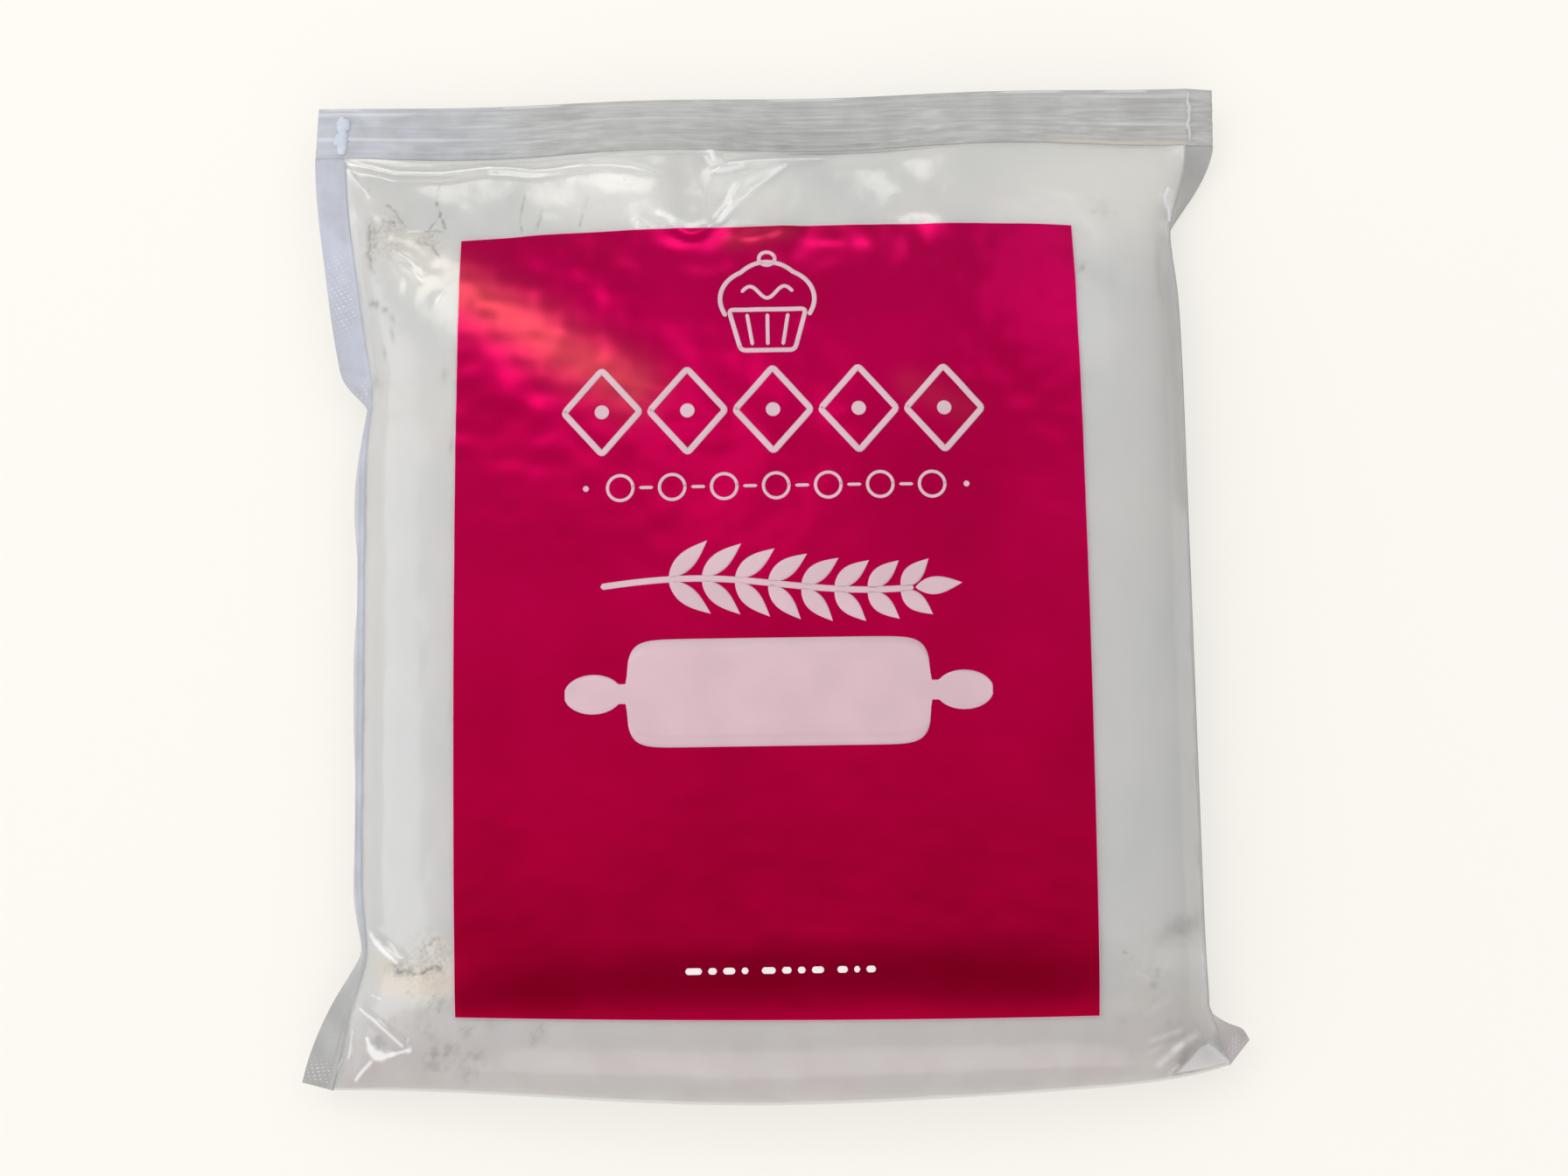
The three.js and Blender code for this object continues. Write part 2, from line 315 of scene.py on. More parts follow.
# Each crease: its line, its size, its half width in mm, and its kind. A "tent" has two flat
# flanks, and its size is their slope. A "swell" is round, and its size is its height in mm.
# They stand where the photograph shows a fold, at the slope that mirrors a window.
CREASES = [
    ([(-104.0, 106.4), (-97.6, 105.0), (-91.1, 102.9), (-84.8, 102.7), (-79.3, 102.5),
      (-73.8, 103.1), (-68.4, 103.7), (-62.8, 103.2), (-57.2, 102.1), (-51.7, 102.3),
      (-43.0, 103.4)], 1.3, 1.4, "swell"),
    ([(-104.3, 104.7), (-101.9, 102.4), (-98.2, 97.9)], 0.3, 0.8, "swell"),
    ([(-12.9, 101.0), (-9.2, 103.2), (3.3, 104.5), (13.7, 105.5)], 1.0, 1.3, "swell"),
    ([(-14.3, 109.0), (-13.3, 106.4), (-11.8, 103.4)], 0.7, 1.2, "swell"),
    ([(-13.0, 86.0), (-11.9, 87.4), (-3.4, 95.4), (4.6, 103.1)], 0.7, 1.0, "swell"),
    ([(-11.4, 86.8), (-10.6, 88.2), (-6.4, 96.3), (3.1, 102.9)], 0.6, 1.0, "swell"),
    ([(-11.0, 88.4), (-5.0, 95.6), (2.6, 102.0)], -0.5, 1.0, "swell"),
    ([(-20.3, 104.0), (-20.1, 96.2), (-19.1, 88.6), (-18.4, 85.8)], -0.35, 4.0, "swell"),
    ([(-44.0, 96.0), (-35.4, 95.9), (-27.0, 90.5), (-20.0, 85.0)], 0.35, 5.0, "swell"),
    ([(-50.7, 102.6), (-40.0, 103.2), (-33.0, 102.2), (-26.0, 100.6)], 0.5, 1.6, "swell"),
    ([(-22.6, 85.6), (-20.8, 83.6), (-18.4, 82.8), (-16.0, 83.4), (-14.2, 85.2)],
     0.3, 1.0, "swell"),
    ([(-8.4, 81.6), (-2.6, 81.4), (1.7, 82.6), (7.8, 85.6)], 0.3, 2.8, "swell"),
    ([(-91.6, 82.6), (-87.2, 79.5), (-82.2, 75.1)], 0.6, 1.3, "swell"),
    ([(-89.4, 78.4), (-86.4, 76.4), (-83.4, 73.0)], 0.4, 1.0, "swell"),
    ([(-81.2, 67.0), (-77.6, 70.8)], 0.25, 1.0, "swell"),
    ([(-95.2, 49.0), (-91.0, 45.6)], 0.60, 0.8, "tent"),
    ([(-95.6, -81.2), (-92.5, -84.6), (-89.9, -87.3), (-86.8, -90.4)], 1.5, 1.7, "swell"),
    ([(-98.4, -99.0), (-93.5, -102.4), (-89.7, -105.6), (-85.6, -109.2)], 0.8, 1.1, "swell"),
    ([(-96.4, -104.8), (-94.9, -108.8), (-93.3, -110.7), (-89.8, -110.3), (-84.8, -108.7)],
     0.5, 1.6, "swell"),
    ([(-94.4, -111.8), (-96.9, -114.1), (-99.0, -116.5)], 0.7, 0.9, "swell"),
    ([(-99.9, -106.5), (-100.4, -110.6), (-102.4, -112.6), (-104.2, -114.4)], 0.7, 0.8, "tent"),
    ([(99.4, 98.2), (98.0, 95.1), (98.2, 93.3), (99.2, 91.4), (99.5, 89.4)], 0.7, 1.1, "swell"),
    ([(99.6, 87.8), (96.1, 83.0), (95.5, 77.3), (94.6, 70.2)], 0.5, 1.6, "swell"),
    ([(86.5, -90.6), (92.9, -87.9), (99.2, -85.6)], 0.35, 3.4, "swell"),
    ([(90.0, -86.0), (94.1, -84.3), (99.6, -82.8)], -0.35, 2.8, "swell"),
    ([(86.0, -115.4), (91.0, -112.0), (94.6, -109.3), (98.0, -107.6)], 0.30, 2.6, "swell"),
    ([(92.2, -115.0), (94.4, -112.0), (96.8, -109.4)], -0.45, 2.0, "swell"),
    ([(94.6, -115.4), (100.3, -112.9), (106.0, -112.6)], 0.2, 2.6, "swell"),
]


def film_relief(x, y):
    """Height of the film over its plain form: a very slight waviness, calmer low down and
    livelier at the upper left, and the creases. A tent is slope * (w - d) and a swell
    h * exp(-(d / w)^2), and each is faded out at both ends of its line."""
    calm = 0.2 + 0.8 * np.clip(ease(-20, 50, y) + ease(74, 82, np.abs(x)), 0, 1)
    total = calm * (0.05 * unevenness(x, y, 16, 11) + 0.025 * unevenness(x, y, 7, 12))
    lively = bell(np.hypot(x + 85, 1.3 * (y - 76)), 9)
    total = total + 0.03 * lively * unevenness(x, y, 4.2, 13)
    for line, size, width, kind in CREASES:
        gap, share = along_path(line, x, y)
        fade = np.sin(np.pi * np.clip(share, 0.02, 0.98)) ** 0.5
        form = np.clip(width - gap, 0, None) if kind == "tent" else bell(gap, width)
        total = total + size * fade * form
    return total


# Each streak: its line, its half width and how white the film is there. The film is doubled,
# stretched or held off the powder along it and shows milkiness, and each sharp fold shows as a
# white line: painted highlights, where the folds mirror the windows.
MILKY_AND_HIGHLIGHTS = [
    ([(-103.2, 106.2), (-97.6, 105.0), (-91.1, 102.9), (-84.8, 102.7), (-79.3, 102.5),
      (-73.8, 103.1), (-68.4, 103.7)], 0.34, 0.75),
    ([(-68.4, 103.7), (-62.8, 103.2), (-57.2, 102.1), (-51.7, 102.3), (-45.3, 103.2)], 0.34, 0.6),
    ([(-102.0, 107.4), (-86.0, 106.6), (-70.0, 106.9), (-55.0, 106.9), (-40.0, 107.4)], 0.5, 0.3),
    ([(-103.6, 104.0), (-102.0, 94.0), (-100.2, 80.0), (-97.4, 62.0), (-96.6, 52.0)], 1.3, 0.30),
    ([(-103.6, 104.5), (-101.4, 101.6), (-98.4, 98.4)], 0.4, 0.4),
    ([(-91.0, 82.0), (-87.2, 79.5), (-82.8, 75.6)], 0.45, 0.45),
    ([(-89.0, 78.0), (-85.8, 75.6), (-83.8, 73.4)], 0.5, 0.25),
    ([(-80.4, 67.9), (-78.5, 69.7)], 0.35, 0.5),
    ([(-87.5, 86.9), (-83.4, 87.0)], 0.30, 0.45),
    ([(-46.0, 97.0), (-38.0, 95.0), (-27.0, 90.0)], 7.0, 0.40),
    ([(-40.0, 101.4), (-36.4, 99.6)], 1.4, 0.2),
    ([(-43.0, 105.0), (-34.0, 104.0), (-26.0, 100.6)], 1.2, 0.25),
    ([(-14.0, 107.8), (-13.0, 105.4), (-12.0, 103.8)], 0.8, 0.6),
    ([(-12.4, 101.0), (-9.0, 101.6), (-6.0, 102.8)], 0.7, 0.5),
    ([(-9.2, 103.2), (3.3, 104.5), (13.7, 105.5)], 0.4, 0.5),
    ([(4.6, 103.1), (-3.4, 95.4), (-11.9, 86.4)], 0.55, 0.55),
    ([(3.1, 102.6), (-4.5, 97.5), (-11.2, 86.6)], 0.7, 0.45),
    ([(1.0, 101.4), (-7.0, 99.0), (-13.0, 93.0)], 3.4, 0.36),
    ([(-14.0, 107.6), (-10.0, 102.6), (-12.0, 96.0)], 2.0, 0.3),
    ([(-4.0, 98.4), (-8.0, 93.0), (-11.6, 87.6)], 1.2, 0.2),
    ([(2.0, 108.0), (-8.0, 107.0), (-20.0, 108.0), (-36.0, 106.6)], 1.0, 0.25),
    ([(-94.3, -82.4), (-91.5, -85.7), (-87.9, -89.3)], 0.42, 0.95),
    ([(-92.4, -84.6), (-90.8, -86.4), (-89.2, -88.0)], 0.65, 0.8),
    ([(-94.5, -96.7), (-92.3, -97.6)], 0.35, 0.5),
    ([(-97.3, -99.9), (-93.5, -102.4), (-89.7, -105.6), (-86.7, -108.2)], 0.32, 0.85),
    ([(-85.4, -106.8), (-85.5, -109.7)], 0.35, 0.7),
    ([(-95.5, -106.6), (-94.7, -108.9), (-93.3, -110.7)], 0.45, 0.8),
    ([(-94.4, -109.2), (-93.4, -110.4), (-92.4, -110.6)], 1.25, 1.0),
    ([(-93.2, -110.4), (-91.4, -110.6), (-89.4, -110.1)], 0.75, 0.9),
    ([(-89.8, -110.3), (-87.4, -109.7), (-85.5, -109.2)], 0.4, 0.8),
    ([(-94.7, -112.0), (-96.9, -114.1), (-98.8, -116.2)], 0.38, 0.8),
    ([(-99.8, -105.0), (-100.4, -111.0)], 0.4, 0.4),
    ([(-104.4, -114.4), (-102.4, -111.8)], 0.4, 0.45),
    ([(-99.0, -100.0), (-98.0, -106.0), (-98.6, -113.0)], 3.0, 0.22),
    ([(-92.0, -101.0), (-88.0, -105.0)], 3.0, 0.12),
    ([(99.0, 97.3), (97.9, 95.1), (98.1, 93.3), (99.1, 91.6), (99.4, 89.8)], 0.34, 0.95),
    ([(99.6, 97.0), (99.8, 92.0)], 1.4, 0.25),
    ([(88.2, -115.0), (91.0, -112.6), (93.4, -111.0)], 1.0, 0.50),
    ([(92.0, -111.6), (95.0, -109.8), (97.0, -108.8)], 1.2, 0.40),
    ([(86.3, -109.6), (89.6, -108.6), (93.1, -107.6)], 0.8, 0.32),
    ([(85.6, -112.4), (88.6, -111.0)], 0.7, 0.18),
    ([(85.0, -103.8), (90.4, -99.9)], 1.0, 0.12),
    ([(90.0, -91.4), (95.0, -90.0), (99.6, -91.0)], 3.0, 0.22),
    ([(91.2, -118.2), (91.0, -117.2), (92.4, -116.0)], 0.6, 0.35),
]

# Each facet of painted light: the corners of a flat fold of film, anticlockwise, and how white it
# is drawn where the fold catches the light.
PAINTED_LIGHT_FACETS = [
    ([(92.0, -117.8), (107.2, -115.6), (100.4, -110.4), (97.8, -111.6)], 0.55),
]

# The same for where the sticker's laminate has lifted a little: its gloss is whiter there.
LIFTED = [
    ([(-76.0, 72.0), (-58.1, 61.0), (-47.5, 53.0), (-32.9, 45.1)], 6.5, 1.0),
    ([(33.0, 44.6), (46.0, 38.0)], 3.6, 0.28),
    ([(-8.0, 81.0), (5.0, 83.6)], 2.6, 0.45),
]


def streaked(x, y, streaks):
    """The sum of amount * exp(-(d / w)^2) over some streaks, at most 1."""
    total = np.zeros(np.shape(x))
    for line, width, amount in streaks:
        total = total + amount * bell(along_path(line, x, y)[0], width)
    return np.clip(total, 0, 1)


def inside(corners, x, y):
    """Distance in mm to the nearest side of a convex shape, positive inside it."""
    nearest = np.full(np.shape(x), np.inf)
    for a, b in zip(corners, corners[1:] + corners[:1]):
        run = np.subtract(b, a)
        across_it = (run[0] * (y - a[1]) - run[1] * (x - a[0])) / np.hypot(*run)
        nearest = np.minimum(nearest, across_it)
    return nearest


def milkiness_and_highlight(x, y):
    """Share of film drawn white, for milkiness and painted highlight: the streaks, and each facet
    with an edge 0.9 mm soft.
    """
    total = streaked(x, y, MILKY_AND_HIGHLIGHTS)
    for corners, amount in PAINTED_LIGHT_FACETS:
        total = total + amount * ease(-0.2, 0.7, inside(corners, x, y))
    return total


# ---- the powder's own marks ------------------------------------------------------------------

# Each crack: its line, its depth in mm, its half width, how dark its painted shade is and how
# ragged.
CRACKS = [
    ([(-80.0, 101.0), (-80.6, 98.2), (-81.2, 95.7), (-80.3, 93.2), (-79.7, 90.9), (-78.9, 88.7),
      (-78.0, 86.2), (-77.5, 84.7)], 0.5, 0.22, 0.55, 0.30),
    ([(-94.3, 95.2), (-92.1, 94.2), (-90.5, 91.9), (-88.8, 89.3), (-87.8, 88.4)],
     0.4, 0.3, 0.3, 0.2),
    ([(-80.1, 91.0), (-82.1, 87.6), (-82.8, 86.5), (-81.2, 85.2)], 0.4, 0.2, 0.38, 0.28),
    ([(-84.6, 87.4), (-80.9, 87.1), (-77.8, 86.2)], 0.4, 0.2, 0.3, 0.25),
    ([(-82.0, 83.6), (-80.2, 80.9), (-79.1, 79.2)], 0.4, 0.22, 0.45, 0.2),
    ([(-59.0, 97.0), (-59.8, 90.6), (-59.9, 87.1), (-59.3, 84.8)], 0.4, 0.2, 0.34, 0.15),
    ([(-54.6, 93.0), (-54.8, 89.9), (-55.5, 87.7), (-55.8, 85.0)], 0.3, 0.22, 0.25, 0.18),
    ([(-43.6, 95.6), (-44.1, 92.4), (-44.9, 88.9), (-45.7, 85.4)], 0.4, 0.2, 0.36, 0.15),
    ([(-98.8, 91.6), (-98.0, 90.1), (-98.0, 82.1), (-97.1, 78.9), (-96.0, 76.0)],
     0.6, 0.5, 0.35, 0.3),
    ([(-98.8, 69.5), (-96.9, 69.6), (-95.1, 69.1), (-93.4, 67.5), (-91.6, 65.3), (-89.8, 63.1)],
     0.7, 0.6, 0.35, 0.15),
    ([(-91.9, 62.7), (-91.2, 59.9), (-90.0, 58.8)], 0.5, 0.5, 0.35, 0.15),
    ([(-96.8, 51.4), (-94.2, 49.1), (-91.2, 48.5), (-89.1, 48.9)], 0.5, 0.6, 0.3, 0.15),
    ([(-93.3, 57.0), (-93.4, 55.2)], 0.5, 0.4, 0.3, 0.1),
    ([(-90.7, -88.3), (-89.2, -89.5), (-88.9, -90.6), (-88.1, -91.6), (-86.4, -91.2),
      (-84.3, -91.8), (-81.9, -91.5), (-80.3, -90.9), (-79.1, -90.0), (-76.4, -92.4)],
     0.8, 0.35, 0.42, 0.35),
    ([(-84.4, -88.8), (-82.7, -87.1), (-81.1, -85.6), (-79.9, -84.6), (-77.9, -83.5)],
     0.5, 0.35, 0.26, 0.35),
    ([(-86.2, -96.0), (-84.4, -96.8), (-82.4, -96.2)], 0.4, 0.35, 0.2, 0.25),
    ([(76.7, 76.6), (75.9, 74.6), (75.1, 72.8)], 0.6, 0.4, 0.45, 0.2),
    ([(-75.7, 33.0), (-76.5, 30.6)], 0.4, 0.4, 0.25, 0.15),
    ([(87.9, -92.4), (88.6, -93.8), (86.4, -97.2)], 0.3, 0.35, 0.2, 0.2),
]

# Each rough patch: middle, half sizes, how loose and crumbly the powder is there.
LOOSE_PATCHES = [
    (-93.0, 86.5, 5.6, 6.0, 0.75),
    (-82.4, 84.0, 4.0, 2.8, 0.7),
    (-97.2, 84.0, 1.4, 8.0, 0.5),
    (-80.6, -86.8, 5.0, 4.6, 0.9),
    (-83.0, -91.4, 8.0, 4.4, 0.5),
    (-86.5, -91.0, 5.5, 1.6, 0.7),
    (-77.4, 49.3, 1.2, 1.2, 0.5),
    (86.0, -96.0, 7.0, 9.0, 0.25),
]

# Each warm patch: powder that lies loose behind the film and looks cream.
WARM_PATCHES = [
    (-83.0, -94.0, 10.4, 3.4, 1.0),
    (-91.0, -89.8, 4.0, 2.6, 0.7),
    (-79.0, -88.0, 5.0, 5.0, 0.5),
    (-88.5, 84.5, 8.5, 4.5, 0.35),
    (-81.0, 76.0, 9.0, 6.0, 0.3),
    (90.0, -100.0, 12.0, 14.0, 0.18),
]

# Each patch of painted light: the powder drawn whiter where the film over it catches the light.
PAINTED_LIGHT_PATCHES = [
    (86.0, 97.0, 30.0, 19.0, 0.9),
    (-38.0, 95.0, 16.0, 10.0, 0.9),
    (-4.0, 97.0, 12.0, 11.0, 0.8),
    (-82.0, 76.0, 8.0, 7.0, 0.6),
    (-80.0, -94.4, 7.0, 5.0, 0.9),
]

# Each dapple: middle, radius, how much darker it is drawn, as painted shade in a small dent. The
# film doesn't touch the powder there.
DAPPLES = [
    (-77.8, -98.8, 1.6, 0.30), (-71.6, -105.7, 1.2, 0.30), (-69.4, -110.7, 1.5, 0.32),
    (-79.3, -109.8, 1.3, 0.30), (-75.7, -109.5, 1.4, 0.34), (-80.3, -112.9, 1.6, 0.30),
    (-72.5, -114.5, 1.8, 0.22), (-55.7, -107.0, 1.3, 0.25), (-54.4, -105.1, 1.1, 0.25),
    (-82.5, -101.0, 2.8, 0.14), (-90.6, -104.6, 2.0, 0.20), (-92.8, -108.2, 1.6, 0.22),
    (-80.5, -106.0, 1.2, 0.18), (-76.8, -113.5, 1.0, 0.18), (-66.0, -103.9, 1.4, 0.12),
    (-91.9, 90.0, 0.7, 0.4), (-92.2, 89.0, 0.6, 0.35), (-94.0, 90.5, 0.6, 0.3),
    (-96.3, 88.0, 0.7, 0.25), (-85.0, 84.3, 0.7, 0.35), (-83.0, 83.8, 0.6, 0.35),
    (-77.9, 49.3, 0.5, 0.3), (80.5, -89.7, 0.5, 0.4), (81.7, -90.9, 0.3, 0.3),
    (88.6, -93.5, 0.4, 0.3), (86.8, -97.0, 0.6, 0.35), (78.9, -105.2, 0.4, 0.35),
    (76.0, 74.0, 0.5, 0.3), (81.8, 90.6, 2.2, 0.12), (-26.1, 103.9, 0.5, 0.4),
    (96.6, -84.6, 3.0, 0.13), (92.0, -108.5, 2.2, 0.22), (94.2, -114.5, 1.8, 0.2),
]

# Each shade: middle, half sizes, how much darker. The film turns down there, out of the light.
SHADES = [
    (94.6, -112.0, 1.3, 3.2, 0.22),
    (98.6, -118.0, 7.0, 0.9, 0.40),
    (94.6, -83.8, 5.0, 2.4, 0.12),
    (-20.0, 95.0, 5.0, 8.0, 0.10),
    (-9.6, 94.0, 2.6, 4.0, 0.10),
]

# The same along a line: its points, half width and how much darker.
SHADED_EDGES = [
    ([(100.4, 83.6), (100.0, 78.0), (99.6, 60.0), (101.0, 20.0)], 3.4, 0.38),
    ([(97.4, 84.4), (96.4, 78.0), (96.0, 70.0)], 1.6, 0.12),
    ([(102.0, 20.0), (102.0, -80.0)], 4.0, 0.14),
    ([(92.3, -117.6), (94.6, -114.2), (97.4, -110.2)], 0.9, 0.26),
    ([(88.6, -86.6), (94.4, -83.4), (99.0, -82.0)], 1.8, 0.14),
]


def patch(x, y, patches):
    """The sum of round-topped spots: amount * exp(-((x/a)^2 + (y/b)^2)^1.5)."""
    total = np.zeros(np.shape(x))
    for cx, cy, a, b, amount in patches:
        reach = ((x - cx) / a) ** 2 + ((y - cy) / b) ** 2
        total = total + amount * np.exp(-reach ** 1.5)
    return total


def powder_end(x):
    """Where the powder stops short of the seal, with a notch 9 mm deep in the left corner."""
    notch = 9.0 * np.clip(1 - np.abs(x + 99.0) / 5.0, 0, None)
    return SEAL_Y - 0.4 - notch


def powder_marks(x, y):
    """Depth of the powder's skin below the film, and the shares of dark (painted shade), loose,
    warm and pale (painted light).

    The skin is slightly wavy and lumpy where it is loose. A crack cuts it by its depth * exp(-(d /
    w)^2), fading at both ends, and a dapple dents it with a rough edge. Both are darkened with
    painted shade, as are the loose crumbs and the places where the film turns down, out of the
    light.
    """
    loose = np.clip(patch(x, y, LOOSE_PATCHES), 0, 1)
    warm = np.clip(patch(x, y, WARM_PATCHES), 0, 1)
    # painted light: the powder drawn whiter where the film over it is lit
    pale = np.clip(patch(x, y, PAINTED_LIGHT_PATCHES), 0, 1)
    depth = POWDER_INSET + 0.12 * np.clip(unevenness(x, y, 9, 31), 0, None)
    depth = depth + 0.22 * loose * np.clip(unevenness(x, y, 2.2, 32), 0, None)
    # painted shade among the loose crumbs, and where the film turns down out of the light
    dark = 0.15 * loose * np.clip(unevenness(x, y, 1.3, 33), 0, None)
    dark = dark + patch(x, y, SHADES) + streaked(x, y, SHADED_EDGES)
    broken = np.clip(0.8 + 0.4 * unevenness(x, y, 2.6, 35), 0.2, 1.2)
    for line, deep, width, tone, jitter in CRACKS:
        gap, share = along_path(ragged(line, jitter), x, y)
        fade = np.clip(7 * np.minimum(share, 1 - share), 0, 1)
        cut = fade * bell(gap, width) * broken
        depth = depth + deep * cut
        dark = dark + tone * cut
    rough = unevenness(x, y, 2.5, 34) + 0.8 * unevenness(x, y, 1.0, 36)
    for cx, cy, radius, tone in DAPPLES:
        spot = bell(np.hypot(x - cx, y - cy) + 0.34 * radius * rough, radius)
        depth = depth + 0.5 * tone * spot
        dark = dark + tone * spot
    return depth, dict(dark=np.clip(dark, 0, 1), loose=loose, warm=warm, pale=pale)


# ---- meshes ----------------------------------------------------------------------------------

def quads(rows, columns, start=0, flip=False):
    """The faces of a grid of points, anticlockwise seen from above, or the other way round."""
    index = start + np.arange(rows * columns).reshape(rows, columns)
    corners = [index[:-1, :-1], index[:-1, 1:], index[1:, 1:], index[1:, :-1]]
    faces = np.stack([corner.ravel() for corner in corners], 1)
    return (faces[:, ::-1] if flip else faces).tolist()


def shell(upper, lower, step=1):
    """A closed skin over an upper and a lower grid, and round their edge.

    The lower grid has every step-th column of the upper one, so a face of the two end rims
    takes in step + 1 points above and two below.
    """
    rows, columns = upper.shape[:2]
    under = lower[:, ::step]
    narrow = under.shape[1]
    start = rows * columns
    points = np.concatenate([upper.reshape(-1, 3), under.reshape(-1, 3)])
    faces = quads(rows, columns) + quads(rows, narrow, start, True)
    top = np.arange(start).reshape(rows, columns)
    low = start + np.arange(rows * narrow).reshape(rows, narrow)
    left = np.stack([top[:-1, 0], top[1:, 0], low[1:, 0], low[:-1, 0]], 1)
    right = np.stack([top[1:, -1], top[:-1, -1], low[:-1, -1], low[1:, -1]], 1)
    faces += left.tolist() + right.tolist()
    for row, order in ((0, -1), (rows - 1, 1)):
        for k in range(narrow - 1):
            rim = list(top[row, k * step:(k + 1) * step + 1]) + [low[row, k + 1], low[row, k]]
            faces.append([int(i) for i in rim[::order]])
    return points, faces


def add_mesh(name, points, faces, materials, values=None, chosen=None):
    """A smooth-shaded object in metres, with named values at its points."""
    mesh = bpy.data.meshes.new(name)
    mesh.from_pydata((points * MM).tolist(), [], faces)
    mesh.polygons.foreach_set("use_smooth", np.ones(len(faces), bool))
    for key, array in (values or {}).items():
        layer = mesh.attributes.new(key, "FLOAT", "POINT")
        layer.data.foreach_set("value", np.ascontiguousarray(array, np.float32).ravel())
    for material in materials:
        mesh.materials.append(material)
    if chosen is not None:
        mesh.polygons.foreach_set("material_index", np.asarray(chosen, np.int32))
    mesh.validate()
    mesh.update()
    piece = bpy.data.objects.new(name, mesh)
    bpy.context.scene.collection.objects.link(piece)
    return piece


# ---- materials -------------------------------------------------------------------------------

def colour(value):
    """An sRGB hex value, as linear red, green, blue and alpha."""
    parts = np.array([value >> 16 & 255, value >> 8 & 255, value & 255]) / 255
    linear = np.where(parts <= 0.04045, parts / 12.92, ((parts + 0.055) / 1.055) ** 2.4)
    return (*linear.tolist(), 1.0)


TIMES = dict(operation="MULTIPLY")
PLUS = dict(operation="ADD")
OVER = dict(operation="DIVIDE")
AT_MOST = dict(operation="MINIMUM")
AT_LEAST = dict(operation="MAXIMUM")
SIZE = dict(operation="ABSOLUTE")
COLOURS = dict(data_type="RGBA")
DEEPENED = dict(data_type="RGBA", blend_type="MULTIPLY")


def node(tree, kind, give=0, settings=None, **inputs):
    """Adds one node and gives back one of its outputs, by name or number.

    A value of inputs is a number, a colour, or an output to link. A key such as Base_Color
    names the socket 'Base Color', and in_2 is the third socket.
    """
    made = tree.nodes.new(kind)
    for key, value in (settings or {}).items():
        setattr(made, key, value)
    for key, value in inputs.items():
        wanted = int(key[3:]) if key.startswith("in_") else key.replace("_", " ")
        socket = made.inputs[wanted]
        if isinstance(value, bpy.types.NodeSocket):
            tree.links.new(value, socket)
        else:
            socket.default_value = value
    return made.outputs[give]


def new_material(name, build):
    """A node material whose surface is the shader that build makes in its tree."""
    material = bpy.data.materials.new(name)
    material.use_nodes = True
    tree = material.node_tree
    tree.nodes.clear()
    output = tree.nodes.new("ShaderNodeOutputMaterial")
    tree.links.new(build(tree), output.inputs["Surface"])
    return material


def pattern(tree, size, detail, stretch=(1, 1, 1), roughness=0.5):
    """Noise, 0 to 1, whose features are about size mm long on the object itself."""
    place = node(tree, "ShaderNodeTexCoord", "Object")
    scaled = node(tree, "ShaderNodeMapping", 0, Vector=place, Scale=tuple(1 / s for s in stretch))
    return node(
        tree, "ShaderNodeTexNoise", "Fac", Vector=scaled,
        Scale=1 / (size * MM), Detail=detail, Roughness=roughness,
    )


def across_object(tree, axis, start, end):
    """0 at start and 1 at end along one axis of the object itself, in metres."""
    place = node(tree, "ShaderNodeTexCoord", "Object")
    part = node(tree, "ShaderNodeSeparateXYZ", axis, Vector=place)
    return node(tree, "ShaderNodeMapRange", 0, Value=part, in_1=start, in_2=end)


